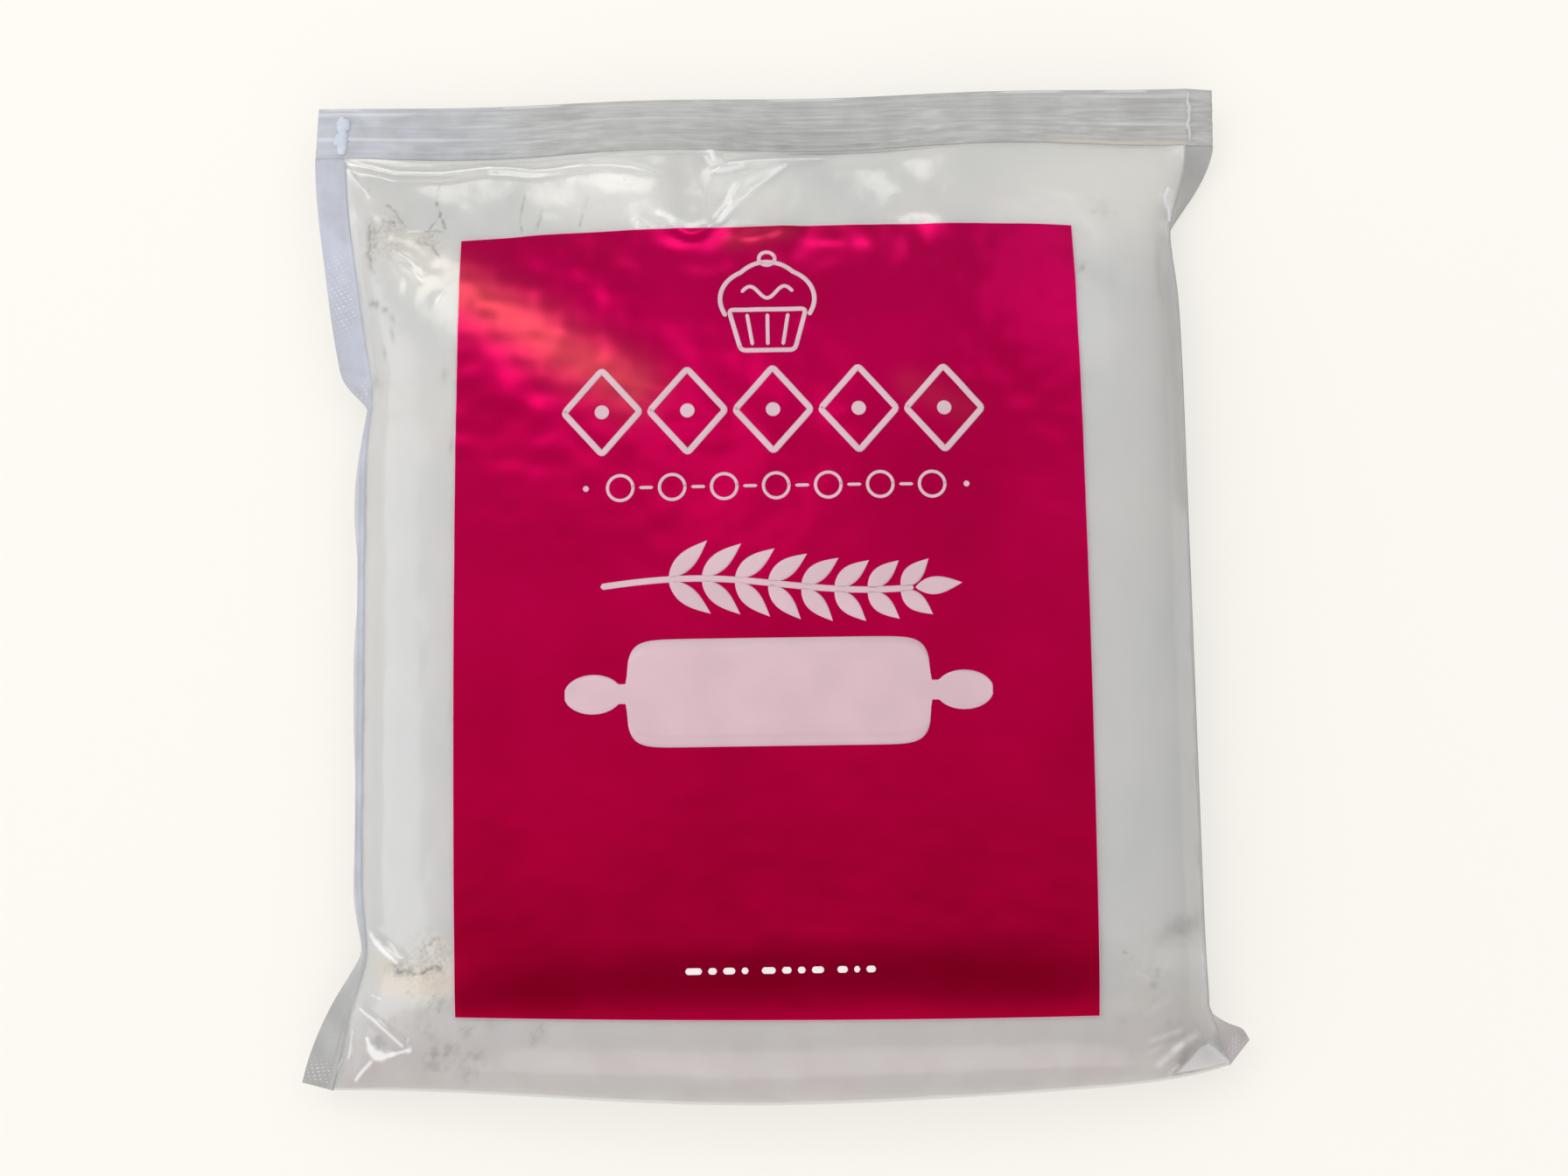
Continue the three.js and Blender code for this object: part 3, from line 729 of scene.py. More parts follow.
def leavening_powder(tree):
    """Leavening powder: fine starch, acid and soda crystals of 0.05 mm, pressed by the film.

    To the eye it is matt and off-white, cool grey where the film touches it, and cream and crumbly
    where it lies loose. It is greyer, a little pink and uneven at the fold, in painted shade where
    it turns from the light, and dark with painted shade in the cracks, dents and crumbs. It is
    whiter with painted light where the film over it is lit. The grain is drawn ten times too
    coarse.
    """
    cloud = pattern(tree, 26, 4)
    grain = pattern(tree, 0.9, 2)
    crumb = pattern(tree, 1.8, 5, roughness=0.65)
    drift = pattern(tree, 9, 3, stretch=(1, 2, 1))
    loose, warm, pale, dark = (
        node(tree, "ShaderNodeAttribute", "Fac", dict(attribute_name=name))
        for name in ("loose", "warm", "pale", "dark")
    )
    cloud = node(tree, "ShaderNodeMapRange", 0, Value=cloud, in_1=0.35, in_2=0.68)
    # Painted shade at the fold, where the powder turns away from the light: greyer, a little pink
    # and uneven.
    near_fold = across_object(tree, "Y", -0.095, -0.110)
    drift = node(
        tree, "ShaderNodeMapRange", 0, Value=drift, in_1=0.35, in_2=0.65, in_3=0.48, in_4=0.74
    )
    fold_shade = node(tree, "ShaderNodeMath", 0, TIMES, in_0=near_fold, in_1=drift)
    crumbs = node(
        tree, "ShaderNodeMapRange", 0, Value=crumb, in_1=0.42, in_2=0.58, in_3=0.66, in_4=0.0
    )
    crumbs = node(tree, "ShaderNodeMath", 0, TIMES, in_0=loose, in_1=crumbs)
    base = colour(0xE2E4E3)
    # The pale share is painted light, and the share greyer at the fold and the dark share are
    # painted shade.
    for share, value in (
        (cloud, 0xEAE9E6), (fold_shade, 0xCCC4C2), (pale, 0xFCFBF5),
        (warm, 0xF6ECDB), (crumbs, 0xCDCCC2), (dark, 0x7E786E),
    ):
        base = node(tree, "ShaderNodeMix", 2, COLOURS, in_0=share, in_6=base, in_7=colour(value))
    lumps = node(tree, "ShaderNodeMath", 0, TIMES, in_0=crumb, in_1=loose)
    lumps = node(tree, "ShaderNodeMath", 0, TIMES, in_0=lumps, in_1=0.4)
    grain = node(tree, "ShaderNodeMath", 0, TIMES, in_0=grain, in_1=0.02)
    height = node(tree, "ShaderNodeMath", 0, PLUS, in_0=grain, in_1=lumps)
    normal = node(tree, "ShaderNodeBump", 0, Height=height, Distance=0.0006, Strength=0.6)
    return node(
        tree, "ShaderNodeBsdfPrincipled", 0, Base_Color=base, Roughness=0.9,
        Specular_IOR_Level=0.3, IOR=1.45, Normal=normal,
    )


def clear_polyethylene(tree):
    """Clear blown polyethylene, 0.08 mm thick.

    It is seen by its gloss and a trace of haziness, and shows milkiness where it is folded or
    stretched. That milk-white share also carries painted highlights along the folds and painted
    light over the shade at the side seams.
    Each pass through its two faces takes about a seventh of the light.
    """
    ripple = pattern(tree, 5.0, 2)
    normal = node(tree, "ShaderNodeBump", 0, Height=ripple, Distance=0.0003, Strength=0.35)
    milky_and_sheen = node(tree, "ShaderNodeAttribute", "Fac", dict(attribute_name="milky_and_sheen"))
    milky_and_sheen = node(tree, "ShaderNodeMapRange", 0, Value=milky_and_sheen, in_1=0, in_2=1, in_3=0.05, in_4=0.85)
    see = node(tree, "ShaderNodeBsdfTransparent", 0, Color=(0.845, 0.845, 0.845, 1))
    haze_and_light = node(tree, "ShaderNodeBsdfDiffuse", 0, Color=colour(0xECEDEE), Normal=normal)
    gloss = node(tree, "ShaderNodeBsdfGlossy", 0, Color=(1, 1, 1, 1), Roughness=0.17, Normal=normal)
    fresnel = node(tree, "ShaderNodeFresnel", 0, IOR=1.75, Normal=normal)
    fresnel = node(tree, "ShaderNodeMath", 0, AT_MOST, in_0=fresnel, in_1=0.32)
    veil = node(tree, "ShaderNodeMixShader", 0, Fac=milky_and_sheen, in_1=see, in_2=haze_and_light)
    return node(tree, "ShaderNodeMixShader", 0, Fac=fresnel, in_1=veil, in_2=gloss)


def welded_polyethylene(tree, opacity, streaks):
    """Polyethylene welded between hot ribbed jaws: hazy, greyish, with glossy streaks.

    It is bluer and paler along the left side, where the weld has some milkiness and a painted
    reflection of cool window light lies on it, and warmer low on the right, with painted light that
    it takes up from the bag.
    """
    streak = pattern(tree, 0.8, 3, stretch=(42, 1, 1))
    cloud = pattern(tree, 9, 3)
    stain, glint = (
        node(tree, "ShaderNodeAttribute", "Fac", dict(attribute_name=name))
        for name in ("stain", "glint")
    )
    # Painted reflection of cool window light, bluer and paler along the left side.
    milky_and_sheen = node(
        tree, "ShaderNodeMath", 0, TIMES,
        in_0=across_object(tree, "X", -0.052, -0.104),
        in_1=across_object(tree, "Y", -0.100, -0.070),
    )
    # Painted light taken up from the bag, warmer low on the right.
    warm = node(
        tree, "ShaderNodeMath", 0, TIMES,
        in_0=across_object(tree, "X", 0.090, 0.098),
        in_1=across_object(tree, "Y", -0.060, -0.100),
    )
    streak = node(
        tree, "ShaderNodeMapRange", 0, Value=streak, in_1=0.35, in_2=0.70, in_3=0, in_4=streaks
    )
    cloud = node(
        tree, "ShaderNodeMapRange", 0, Value=cloud, in_1=0.40, in_2=0.62, in_3=0, in_4=0.3
    )
    base = colour(0xABACAB)
    for share, value in (
        (milky_and_sheen, 0xBFC5D6), (warm, 0xBCB4B5), (streak, 0xC6C8C9),
        (cloud, 0x939492), (stain, 0xCFC9BC), (glint, 0xFAFBFD),
    ):
        base = node(tree, "ShaderNodeMix", 2, COLOURS, in_0=share, in_6=base, in_7=colour(value))
    return node(
        tree, "ShaderNodeBsdfPrincipled", 0, Base_Color=base,
        Roughness=0.24, Specular_IOR_Level=0.5, IOR=1.51, Alpha=opacity,
    )


def melted_bead(tree):
    """Polyethylene melted out of the weld: a glossy bead, grey on the right, and bluish on the left
    by a painted reflection of cool window light.
    """
    share = across_object(tree, "X", -0.05, 0.05)
    base = node(
        tree, "ShaderNodeMix", 2, COLOURS, in_0=share, in_6=colour(0xC3CAD8), in_7=colour(0xBFC0C1)
    )
    return node(
        tree, "ShaderNodeBsdfPrincipled", 0, Base_Color=base,
        Roughness=0.25, Specular_IOR_Level=0.5, IOR=1.51,
    )


def gloss_laminate(tree):
    """A sticker of white vinyl, flooded with magenta ink under a gloss laminate.

    Heavy magenta ink bronzes: its gloss is strong and red, not white, so it glows where it
    mirrors the window and is deep where it mirrors a dark ceiling. It is bluer towards the top,
    where the ink is thicker, and clouded every 34 mm or so. Where the laminate has lifted, its
    gloss is whiter and its slow waviness of 9 mm is stronger.
    """
    cloud = pattern(tree, 34, 3)
    sag = pattern(tree, 9, 4)
    lifted = node(tree, "ShaderNodeAttribute", "Fac", dict(attribute_name="lifted"))
    share = node(tree, "ShaderNodeMapRange", 0, Value=cloud, in_1=0.35, in_2=0.65)
    base = node(
        tree, "ShaderNodeMix", 2, COLOURS, in_0=share, in_6=colour(0x6E0016), in_7=colour(0x78001D)
    )
    tint = node(
        tree, "ShaderNodeMix", 2, COLOURS, in_0=across_object(tree, "Y", -0.090, 0.085),
        in_6=(1.0, 0.002, 0.102, 1), in_7=(1.0, 0.002, 0.198, 1),
    )
    tint = node(
        tree, "ShaderNodeMix", 2, COLOURS, in_0=lifted, in_6=tint, in_7=(1.0, 0.100, 0.165, 1)
    )
    depth = node(
        tree, "ShaderNodeMapRange", 0, Value=cloud, in_1=0.36, in_2=0.64, in_3=0.86, in_4=1.0
    )
    tint = node(tree, "ShaderNodeMix", 2, DEEPENED, in_0=1.0, in_6=tint, in_7=depth)
    swell = node(tree, "ShaderNodeMapRange", 0, Value=lifted, in_1=0, in_2=1, in_3=0.25, in_4=1.0)
    height = node(tree, "ShaderNodeMath", 0, TIMES, in_0=sag, in_1=swell)
    normal = node(tree, "ShaderNodeBump", 0, Height=height, Distance=0.0010, Strength=0.06)
    return node(
        tree, "ShaderNodeBsdfPrincipled", 0, Base_Color=base, Roughness=0.21,
        IOR=3.1, Specular_IOR_Level=0.5, Specular_Tint=tint, Normal=normal,
    )


def thin_ink(tree, value, roughness):
    """White vinyl left bare or printed with a thin tint, under the same laminate."""
    cloud = pattern(tree, 12, 3)
    first = colour(value)
    second = tuple(0.93 * part for part in first[:3]) + (1.0,)
    share = node(tree, "ShaderNodeMapRange", 0, Value=cloud, in_1=0.35, in_2=0.65)
    base = node(tree, "ShaderNodeMix", 2, COLOURS, in_0=share, in_6=first, in_7=second)
    return node(
        tree, "ShaderNodeBsdfPrincipled", 0, Base_Color=base,
        Roughness=roughness, Specular_IOR_Level=0.5, IOR=1.5,
    )


def lit_paper(tree):
    """Warm white paper on a light table: matt, with a glow of its own that thins the shadow."""
    paper = node(tree, "ShaderNodeBsdfDiffuse", 0, Color=(0.37, 0.362, 0.342, 1))
    glow = node(tree, "ShaderNodeEmission", 0, Color=(1.0, 0.985, 0.93, 1), Strength=0.575)
    return node(tree, "ShaderNodeAddShader", 0, in_0=paper, in_1=glow)


POWDER = new_material("leavening_powder", leavening_powder)
CLEAR = new_material("clear_polyethylene_film", clear_polyethylene)
BAND = new_material("welded_polyethylene_band", lambda tree: welded_polyethylene(tree, 0.74, 0.8))
FIN = new_material("welded_polyethylene_fin", lambda tree: welded_polyethylene(tree, 0.72, 0.1))
BEAD = new_material("melted_polyethylene_bead", melted_bead)
STICKER = new_material("gloss_laminated_sticker", gloss_laminate)
CUT_EDGE = new_material("white_vinyl_cut_edge", lambda tree: thin_ink(tree, 0xE6A4BA, 0.4))
PALE_INK = new_material("pale_pink_ink", lambda tree: thin_ink(tree, 0xD2B4BE, 0.32))
WHITE_INK = new_material("white_ink", lambda tree: thin_ink(tree, 0xF2EAEC, 0.32))
PAPER = new_material("lit_white_paper", lit_paper)


# ---- the powder ------------------------------------------------------------------------------

profile_u = np.sin(np.linspace(-np.pi / 2, np.pi / 2, 4001))
profile_v = FOLD_Y + (SEAL_Y - FOLD_Y) * (1 - np.cos(np.linspace(0, np.pi, 4001))) / 2


def grid(column_knots, column_gaps, row_knots, row_gaps):
    """u and v of a grid whose lines are as far apart on the full pouch as the gaps say: those
    across in percent of its half width, and those along in mm.

    The widest gap between columns is halved until the last column is one of every SKIPPED-th.
    """
    columns = spaced(
        profile_u, 0.01 * (CROWN - SEAM_Z) * across(profile_u),
        np.array(column_knots) / 100, np.array(column_gaps) / 100,
    )
    while (len(columns) - 1) % SKIPPED:
        widest = np.argmax(np.diff(columns))
        columns = np.insert(columns, widest + 1, columns[widest:widest + 2].mean())
    rows = spaced(profile_v, (CROWN - SEAM_Z) * fullness(profile_v), row_knots, row_gaps)
    return np.meshgrid(columns, rows)


def make_powder():
    """The powder's skin: the film's form, drawn in along its normal by the marks' depth, and
    rounded off by sqrt(1 - (1 - t)^2) before its end."""
    u, v = grid([-100, -78, -74, -62, -60, -54, -52, -46, -42, -38, 70, 76, 100],
                [0.24, 0.26, 0.6, 0.5, 0.26, 0.26, 0.6, 0.26, 0.26, 5.0, 5.0, 0.9, 0.9],
                [-124, -99, -97, -79, -76, 46, 74, 76, 103, 105, 110],
                [0.6, 0.6, 0.26, 0.26, 3.0, 3.0, 0.7, 0.27, 0.27, 0.5, 0.5])
    end = powder_end(u * half_width(u, v))
    v = FOLD_Y + POWDER_GAP + (v - FOLD_Y) * (end - FOLD_Y - POWDER_GAP) / (SEAL_Y - FOLD_Y)
    top = film_points(1, u, v)
    low = film_points(-1, u, v)
    depth, marks = powder_marks(top[..., 0], top[..., 1])
    upper = top - normals(top) * depth[..., None]
    lower = low + normals(low) * POWDER_INSET
    middle = 0.5 * (upper + lower)
    left = np.clip((end - v) / POWDER_ROUND, 0, 1)
    keep = np.sqrt(1 - (1 - left) ** 2)[..., None] * (1 - POWDER_LIP) + POWDER_LIP
    upper = middle + (upper - middle) * keep
    lower = middle + (lower - middle) * keep
    points, faces = shell(upper, lower, SKIPPED)
    unmarked = np.zeros(lower[:, ::SKIPPED, 0].size)
    values = {key: np.concatenate([array.ravel(), unmarked]) for key, array in marks.items()}
    return add_mesh("powder", points, faces, [POWDER], values)


def make_film():
    """The clear film round the powder: the pouch's form, moved along its normal by the creases,
    which run out at the seams. Besides its streaks it is drawn white towards the side seams, partly
    milkiness and partly painted light over the shade there, by its amount at the seam times exp(-(1
    - |u|) / fall)."""
    u, v = grid([-100, -84, -82, -17, -15, 5, 7, 80, 84, 100],
                [0.33, 0.36, 1.2, 1.2, 0.6, 0.6, 1.4, 1.4, 0.7, 0.55],
                [-124, -119, -98, -96, -80, -76, 60, 76, 98, 100, 110],
                [0.5, 0.33, 0.33, 0.45, 0.45, 2.6, 2.6, 0.6, 0.6, 0.33, 0.33])
    top = film_points(1, u, v)
    low = film_points(-1, u, v)
    relief = film_relief(top[..., 0], top[..., 1]) * ease(1.0, 0.985, np.abs(u))
    relief = relief * ease(SEAL_Y, SEAL_Y - 1.0, v) * ease(FOLD_Y, FOLD_Y + 2.0, v)
    upper = top + normals(top) * relief[..., None]
    points, faces = shell(upper, low, SKIPPED)
    haze_and_light = SEAM_HAZE_AND_LIGHT * np.exp(-(1 - np.abs(u)) / SEAM_HAZE_FALL)
    milky_and_sheen = np.clip(milkiness_and_highlight(top[..., 0], top[..., 1]) + haze_and_light, 0, 1)
    milky_and_sheen = np.concatenate([milky_and_sheen.ravel(), np.zeros(low[:, ::SKIPPED, 0].size)])
    return add_mesh("film", points, faces, [CLEAR], {"milky_and_sheen": milky_and_sheen})


# ---- the welded edges ------------------------------------------------------------------------

def rib_height(v):
    """Ribs of the sealing jaws: RIB_COUNT narrow crests, cos^12, across the band."""
    turn = RIB_COUNT * (v - SEAL_Y) / BAND_HEIGHT
    crest = (0.5 - 0.5 * np.cos(2 * np.pi * turn)) ** 6
    return np.where((v > SEAL_Y) & (v < TOP_Y), crest, 0.0)


def fin_middle(side, v, w):
    """Middle surface of a fin, at w mm from the powder's edge: level for its neck, then
    turned down by hang * (1 - level) + twist. The neck shrinks where the seam is nipped."""
    u = np.full(np.shape(v), float(side["sign"]))
    level = ease(*side["top_fold"], v)
    level = level + side["straight"] * (ramp(*side["top_fold"], v) - level)
    level = np.maximum(level, ramp(*side["bottom_fold"], v))
    twist = side["top_twist"] * ease(*side["top_fold"], v)
    angle = np.radians(side["hang"] * (1 - level) + twist)
    turn = np.radians(side["corner_turn"]) * ease(side["bottom_fold"][0], FOLD_Y, v)
    out = np.stack([side["sign"] * np.cos(turn), np.sin(turn), np.zeros(np.shape(v))], -1)
    down = np.array([0.0, 0.0, -1.0])
    root = np.stack([u * half_width(u, v), v + along_shift(u, v), seam_height(u, v)], -1)
    nip = np.maximum(
        bell(v - side["pinch_top"], NECK_EASE), bell(v - side["pinch_bottom"], NECK_EASE)
    )
    wide = side["neck"] + (side["neck_at_pinch"] - side["neck"]) * nip
    neck = np.minimum(w, wide)[..., None]
    blade = np.maximum(w - wide, 0)[..., None]
    lean = angle[..., None]
    return root + out * neck + (out * np.cos(lean) + down * np.sin(lean)) * blade


def knurl(along, out):
    """Marks of the side sealer, 0 to 1: short dashes, from two crossed waves about 1 mm long."""
    first = np.cos(2 * np.pi * (along * 0.92 + out * 0.38) / 1.05)
    second = np.cos(2 * np.pi * (along * 0.42 - out * 0.90) / 1.25)
    return ramp(0.35, 0.95, first) * ramp(0.0, 0.7, second)


def make_fin(name, side):
    """One side fin: a slab about its middle surface, gently waved, with the sealer's marks on
    its face at four places and a swollen root."""
    rows = spaced(
        np.linspace(FOLD_Y, SEAL_Y, 4001), np.zeros(4001),
        [-124, -112, -110, 38, 40, 90, 92, 110], [0.16, 0.16, 0.9, 0.9, 0.16, 0.16, 0.9, 0.9],
    )
    outs = np.concatenate([[-0.4, -0.2], np.arange(0, FIN_WIDTH + 0.01, 0.15)])
    w, v = np.meshgrid(outs, rows)
    middle = fin_middle(side, v, w)
    facing = normals(middle) * side["sign"]
    marked = bell(v - 71, 7) + 0.4 * bell(v - 81, 4) + 0.8 * bell(v - 47, 4) + bell(v + 119.5, 3)
    marked = marked * ease(0.6, 1.6, w) * ease(FIN_WIDTH, FIN_WIDTH - 1.0, w)
    marks = knurl(v, w) * np.clip(marked, 0, 1)
    glint = np.clip(marks * (0.7 + 0.3 * unevenness(v, w, 3, 41)), 0, 1)
    wave = 0.25 * unevenness(v, w, 30, 42) * ease(0.5, 5.0, w)
    weld = side["weld"] * bell(w + 0.4, 0.9) * ease(SEAL_Y, SEAL_Y - 2.0, v)
    upper = middle + facing * (WALL / 2 + 0.10 * marks + wave + weld)[..., None]
    lower = middle - facing * (WALL / 2 - wave)[..., None]
    if side["sign"] < 0:
        upper, lower, glint = upper[:, ::-1], lower[:, ::-1], glint[:, ::-1]
    points, faces = shell(upper, lower)
    glint = np.concatenate([glint.ravel(), np.zeros(glint.size)])
    return add_mesh(name, points, faces, [FIN], {"glint": glint})


def make_band():
    """The seal band across the top and out over both fins: a slab with the jaws' ribs.

    It glints in broken lines along the ribs' crests, mostly near its ends, and along its lip,
    and is stained with powder along its lower line on the right.
    """
    rows = np.arange(SEAL_Y, TOP_Y + 0.01, 0.2)
    middles = np.linspace(-1, 1, 420)
    u, v = np.meshgrid(middles, rows)
    seam = seam_height(u, v)
    centre = np.stack([u * half_width(u, v), v + along_shift(u, v), seam], -1)
    outs = np.arange(0.5, FIN_WIDTH + 0.01, 0.6)
    w, fin_v = np.meshgrid(outs, rows)
    left = fin_middle(LEFT, fin_v, w)[:, ::-1]
    right = fin_middle(RIGHT, fin_v, w)
    middle = np.concatenate([left, centre, right], 1)
    facing = normals(middle)
    height = np.broadcast_to(rows[:, None], middle.shape[:2])
    x = middle[..., 0]
    broken = ease(-0.6, 0.9, unevenness(x, 6 * height, 38, 51))
    ends = 0.25 + 0.75 * np.clip(ease(-58, -88, x) + 0.7 * ease(64, 96, x), 0, 1)
    crest = rib_height(height)
    lip = bell(TOP_Y - 0.35 - height, 0.25) * ease(0.3, 1.0, unevenness(x, height, 30, 53))
    glint = np.clip(0.36 * crest * broken * ends + 0.5 * lip, 0, 1)
    stain = bell(height - SEAL_Y - 0.5, 0.8) * ease(62, 80, x) * ease(108, 100, x)
    relief = RIB_RELIEF * crest + 0.05 * unevenness(x, 5 * height, 14, 52)
    taper = ease(0, 0.6, height - SEAL_Y) * ease(0, 0.6, TOP_Y - height)
    upper = middle + facing * (WALL / 2 + relief * taper)[..., None]
    lower = middle - facing * (WALL / 2 + RIB_RELIEF * crest * taper * 0.5)[..., None]
    points, faces = shell(upper, lower)
    glint, stain = (np.concatenate([marks.ravel(), 0 * marks.ravel()]) for marks in (glint, stain))
    return add_mesh("seal_band", points, faces, [BAND], {"glint": glint, "stain": stain})


def tube(path, radius, sides=14):
    """A flattened tube along a line of points: rings of the given radii, closed at both ends
    by a point."""
    heading = np.gradient(path, axis=0)
    heading /= np.linalg.norm(heading, axis=1, keepdims=True)
    across_it = np.cross(heading, [0.0, 0.0, 1.0])
    across_it /= np.linalg.norm(across_it, axis=1, keepdims=True)
    upward = np.cross(across_it, heading)
    turn = np.linspace(0, 2 * np.pi, sides, endpoint=False)
    ring = (
        np.cos(turn)[None, :, None] * across_it[:, None]
        + np.sin(turn)[None, :, None] * upward[:, None] * TUBE_FLATNESS
    )
    body = path[:, None] + ring * radius[:, None, None]
    count = len(path)
    points = np.concatenate([body.reshape(-1, 3), path[:1], path[-1:]])
    index = np.arange(count * sides).reshape(count, sides)
    following = np.roll(index, -1, axis=1)
    faces = np.stack(
        [index[:-1].ravel(), following[:-1].ravel(), following[1:].ravel(), index[1:].ravel()], 1
    ).tolist()
    first, last = count * sides, count * sides + 1
    faces += [[first, int(b), int(a)] for a, b in zip(index[0], following[0])]
    faces += [[last, int(a), int(b)] for a, b in zip(index[-1], following[-1])]
    return points, faces


def joined(parts):
    """Several meshes as one."""
    points, faces, start = [], [], 0
    for some_points, some_faces in parts:
        points.append(some_points)
        faces += [[index + start for index in face] for face in some_faces]
        start += len(some_points)
    return np.concatenate(points), faces


def make_beads():
    """The beads of melted film that the jaws squeeze out at both corners of the band."""
    parts = []
    count = 60
    for side, start, end, thick in ((LEFT, 110.4, 121.4, 1.95), (RIGHT, 110.5, 122.6, 0.6)):
        v = np.linspace(start, end, count)
        u = np.full(count, float(side["sign"]))
        wander = 0.20 * np.cos(2 * np.pi * v / 6.2) + 0.10 * np.cos(2 * np.pi * v / 2.9)
        x = u * (half_width(u, v) + 0.9) + wander
        line = np.stack([x, v + along_shift(u, v), seam_height(u, v) + 0.25], 1)
        swell = 0.80 + 0.16 * np.cos(2 * np.pi * v / 4.4) + 0.09 * np.cos(2 * np.pi * v / 1.9)
        rounded = np.sqrt(np.clip(1 - np.abs(np.linspace(-1, 1, count)) ** 6, 0.02, 1))
        parts.append(tube(line, thick * swell * rounded))
    points, faces = joined(parts)
    return add_mesh("seal_beads", points, faces, [BEAD])


# ---- the sticker and its print ---------------------------------------------------------------

def label_place(s, t):
    """x and y on the sticker, for s across it and t along it, both from -1 to 1."""
    x = LABEL_X + s * (LABEL_WIDTH / 2 - LABEL_BOW * t * t)
    y = LABEL_Y + t * (LABEL_LENGTH / 2 - LABEL_BOW * s * s + LABEL_FAN * s)
    return x, y


def label_wave(x, y):
    """The sticker's own slight waviness, over the film's."""
    calm = 0.2 + 0.8 * ease(-20, 50, y)
    return calm * (0.05 * unevenness(x, y, 22, 61) + 0.02 * unevenness(x, y, 8, 62))


def label_lines(length, count):
    """Places from -1 to 1 across the sticker, the second and last but one a hair from the cut."""
    printed = 1 - 2 * LABEL_HAIR / length
    return np.concatenate([[-1], np.linspace(-printed, printed, count), [1]])


def make_label():
    """The sticker: two draped grids. Its upper face is printed up to a hair from the cut."""
    s, t = np.meshgrid(label_lines(LABEL_WIDTH, 136), label_lines(LABEL_LENGTH, 172))
    x, y = label_place(s, t)
    wave = label_wave(x, y)
    upper = over_film(x, y, LABEL_LIFT + LABEL_WALL + wave)
    lower = over_film(x, y, LABEL_LIFT + wave)
    points, faces = shell(upper, lower)
    chosen = np.ones(len(faces), int)
    bare = np.ones((s.shape[0] - 1, s.shape[1] - 1), int)
    bare[1:-1, 1:-1] = 0
    chosen[:bare.size] = bare.ravel()
    lifted = streaked(x, y, LIFTED).ravel()
    lifted = np.concatenate([lifted, 0 * lifted])
    return add_mesh("label", points, faces, [STICKER, CUT_EDGE], {"lifted": lifted}, chosen)


def draped(x, y):
    """A closed slab of ink on the sticker and a little way into it, from a grid of x and y."""
    wave = LABEL_LIFT + LABEL_WALL + label_wave(x, y)
    return shell(over_film(x, y, wave + PRINT_LIFT), over_film(x, y, wave - PRINT_ROOT))


def stroke(path, width):
    """A stroke of the given width along a line of points, with round ends."""
    heading = np.gradient(path, axis=0)
    heading /= np.linalg.norm(heading, axis=1, keepdims=True)
    reach = np.cumsum(np.concatenate([[0], np.hypot(*np.diff(path, axis=0).T)]))
    radius = width / 2
    inset = np.minimum(reach, reach[-1] - reach)
    rounded = np.where(
        inset < radius, np.sqrt(np.clip(1 - (1 - inset / radius) ** 2, 0.01, 1)), 1.0
    )
    half = (radius * rounded)[:, None, None]
    sides = np.linspace(-1, 1, 5)[None, :, None]
    normal = np.stack([-heading[:, 1], heading[:, 0]], 1)[:, None]
    # rows run along the stroke and columns across it, from its right to its left
    points = (path[:, None] + normal * half * sides)[:, ::-1]
    return draped(points[..., 0], points[..., 1])


def loop(path, width):
    """A closed stroke: the same, with the end drawn over the start."""
    return stroke(np.concatenate([path, path[1:3]]), width)


def rounded_path(corners, radius, steps=6):
    """A polygon with its corners rounded, each by a quadratic curve from edge to edge."""
    corners = np.asarray(corners, float)
    t = np.linspace(0, 1, steps)[:, None]
    line = []
    for last, here, following in zip(np.roll(corners, 1, 0), corners, np.roll(corners, -1, 0)):
        before = last - here
        after = following - here
        cut = min(radius, 0.45 * np.hypot(*before), 0.45 * np.hypot(*after))
        start = here + before / np.hypot(*before) * cut
        end = here + after / np.hypot(*after) * cut
        line.append((1 - t) ** 2 * start + 2 * t * (1 - t) * here + t ** 2 * end)
    return resampled(np.concatenate(line + [line[0][:1]]))


def spindle(x, middle_y, half_height):
    """A filled shape that is symmetric about a level line: y = middle + t * half height."""
    t = np.linspace(-1, 1, 9)[:, None]
    return draped(np.broadcast_to(x, (9, len(x))), middle_y + t * half_height[None])


def disc(cx, cy, radius):
    """A filled dot."""
    angle = np.linspace(-np.pi / 2, np.pi / 2, 17)
    return spindle(cx + radius * np.sin(angle), cy, np.maximum(radius * np.cos(angle), 0.02))


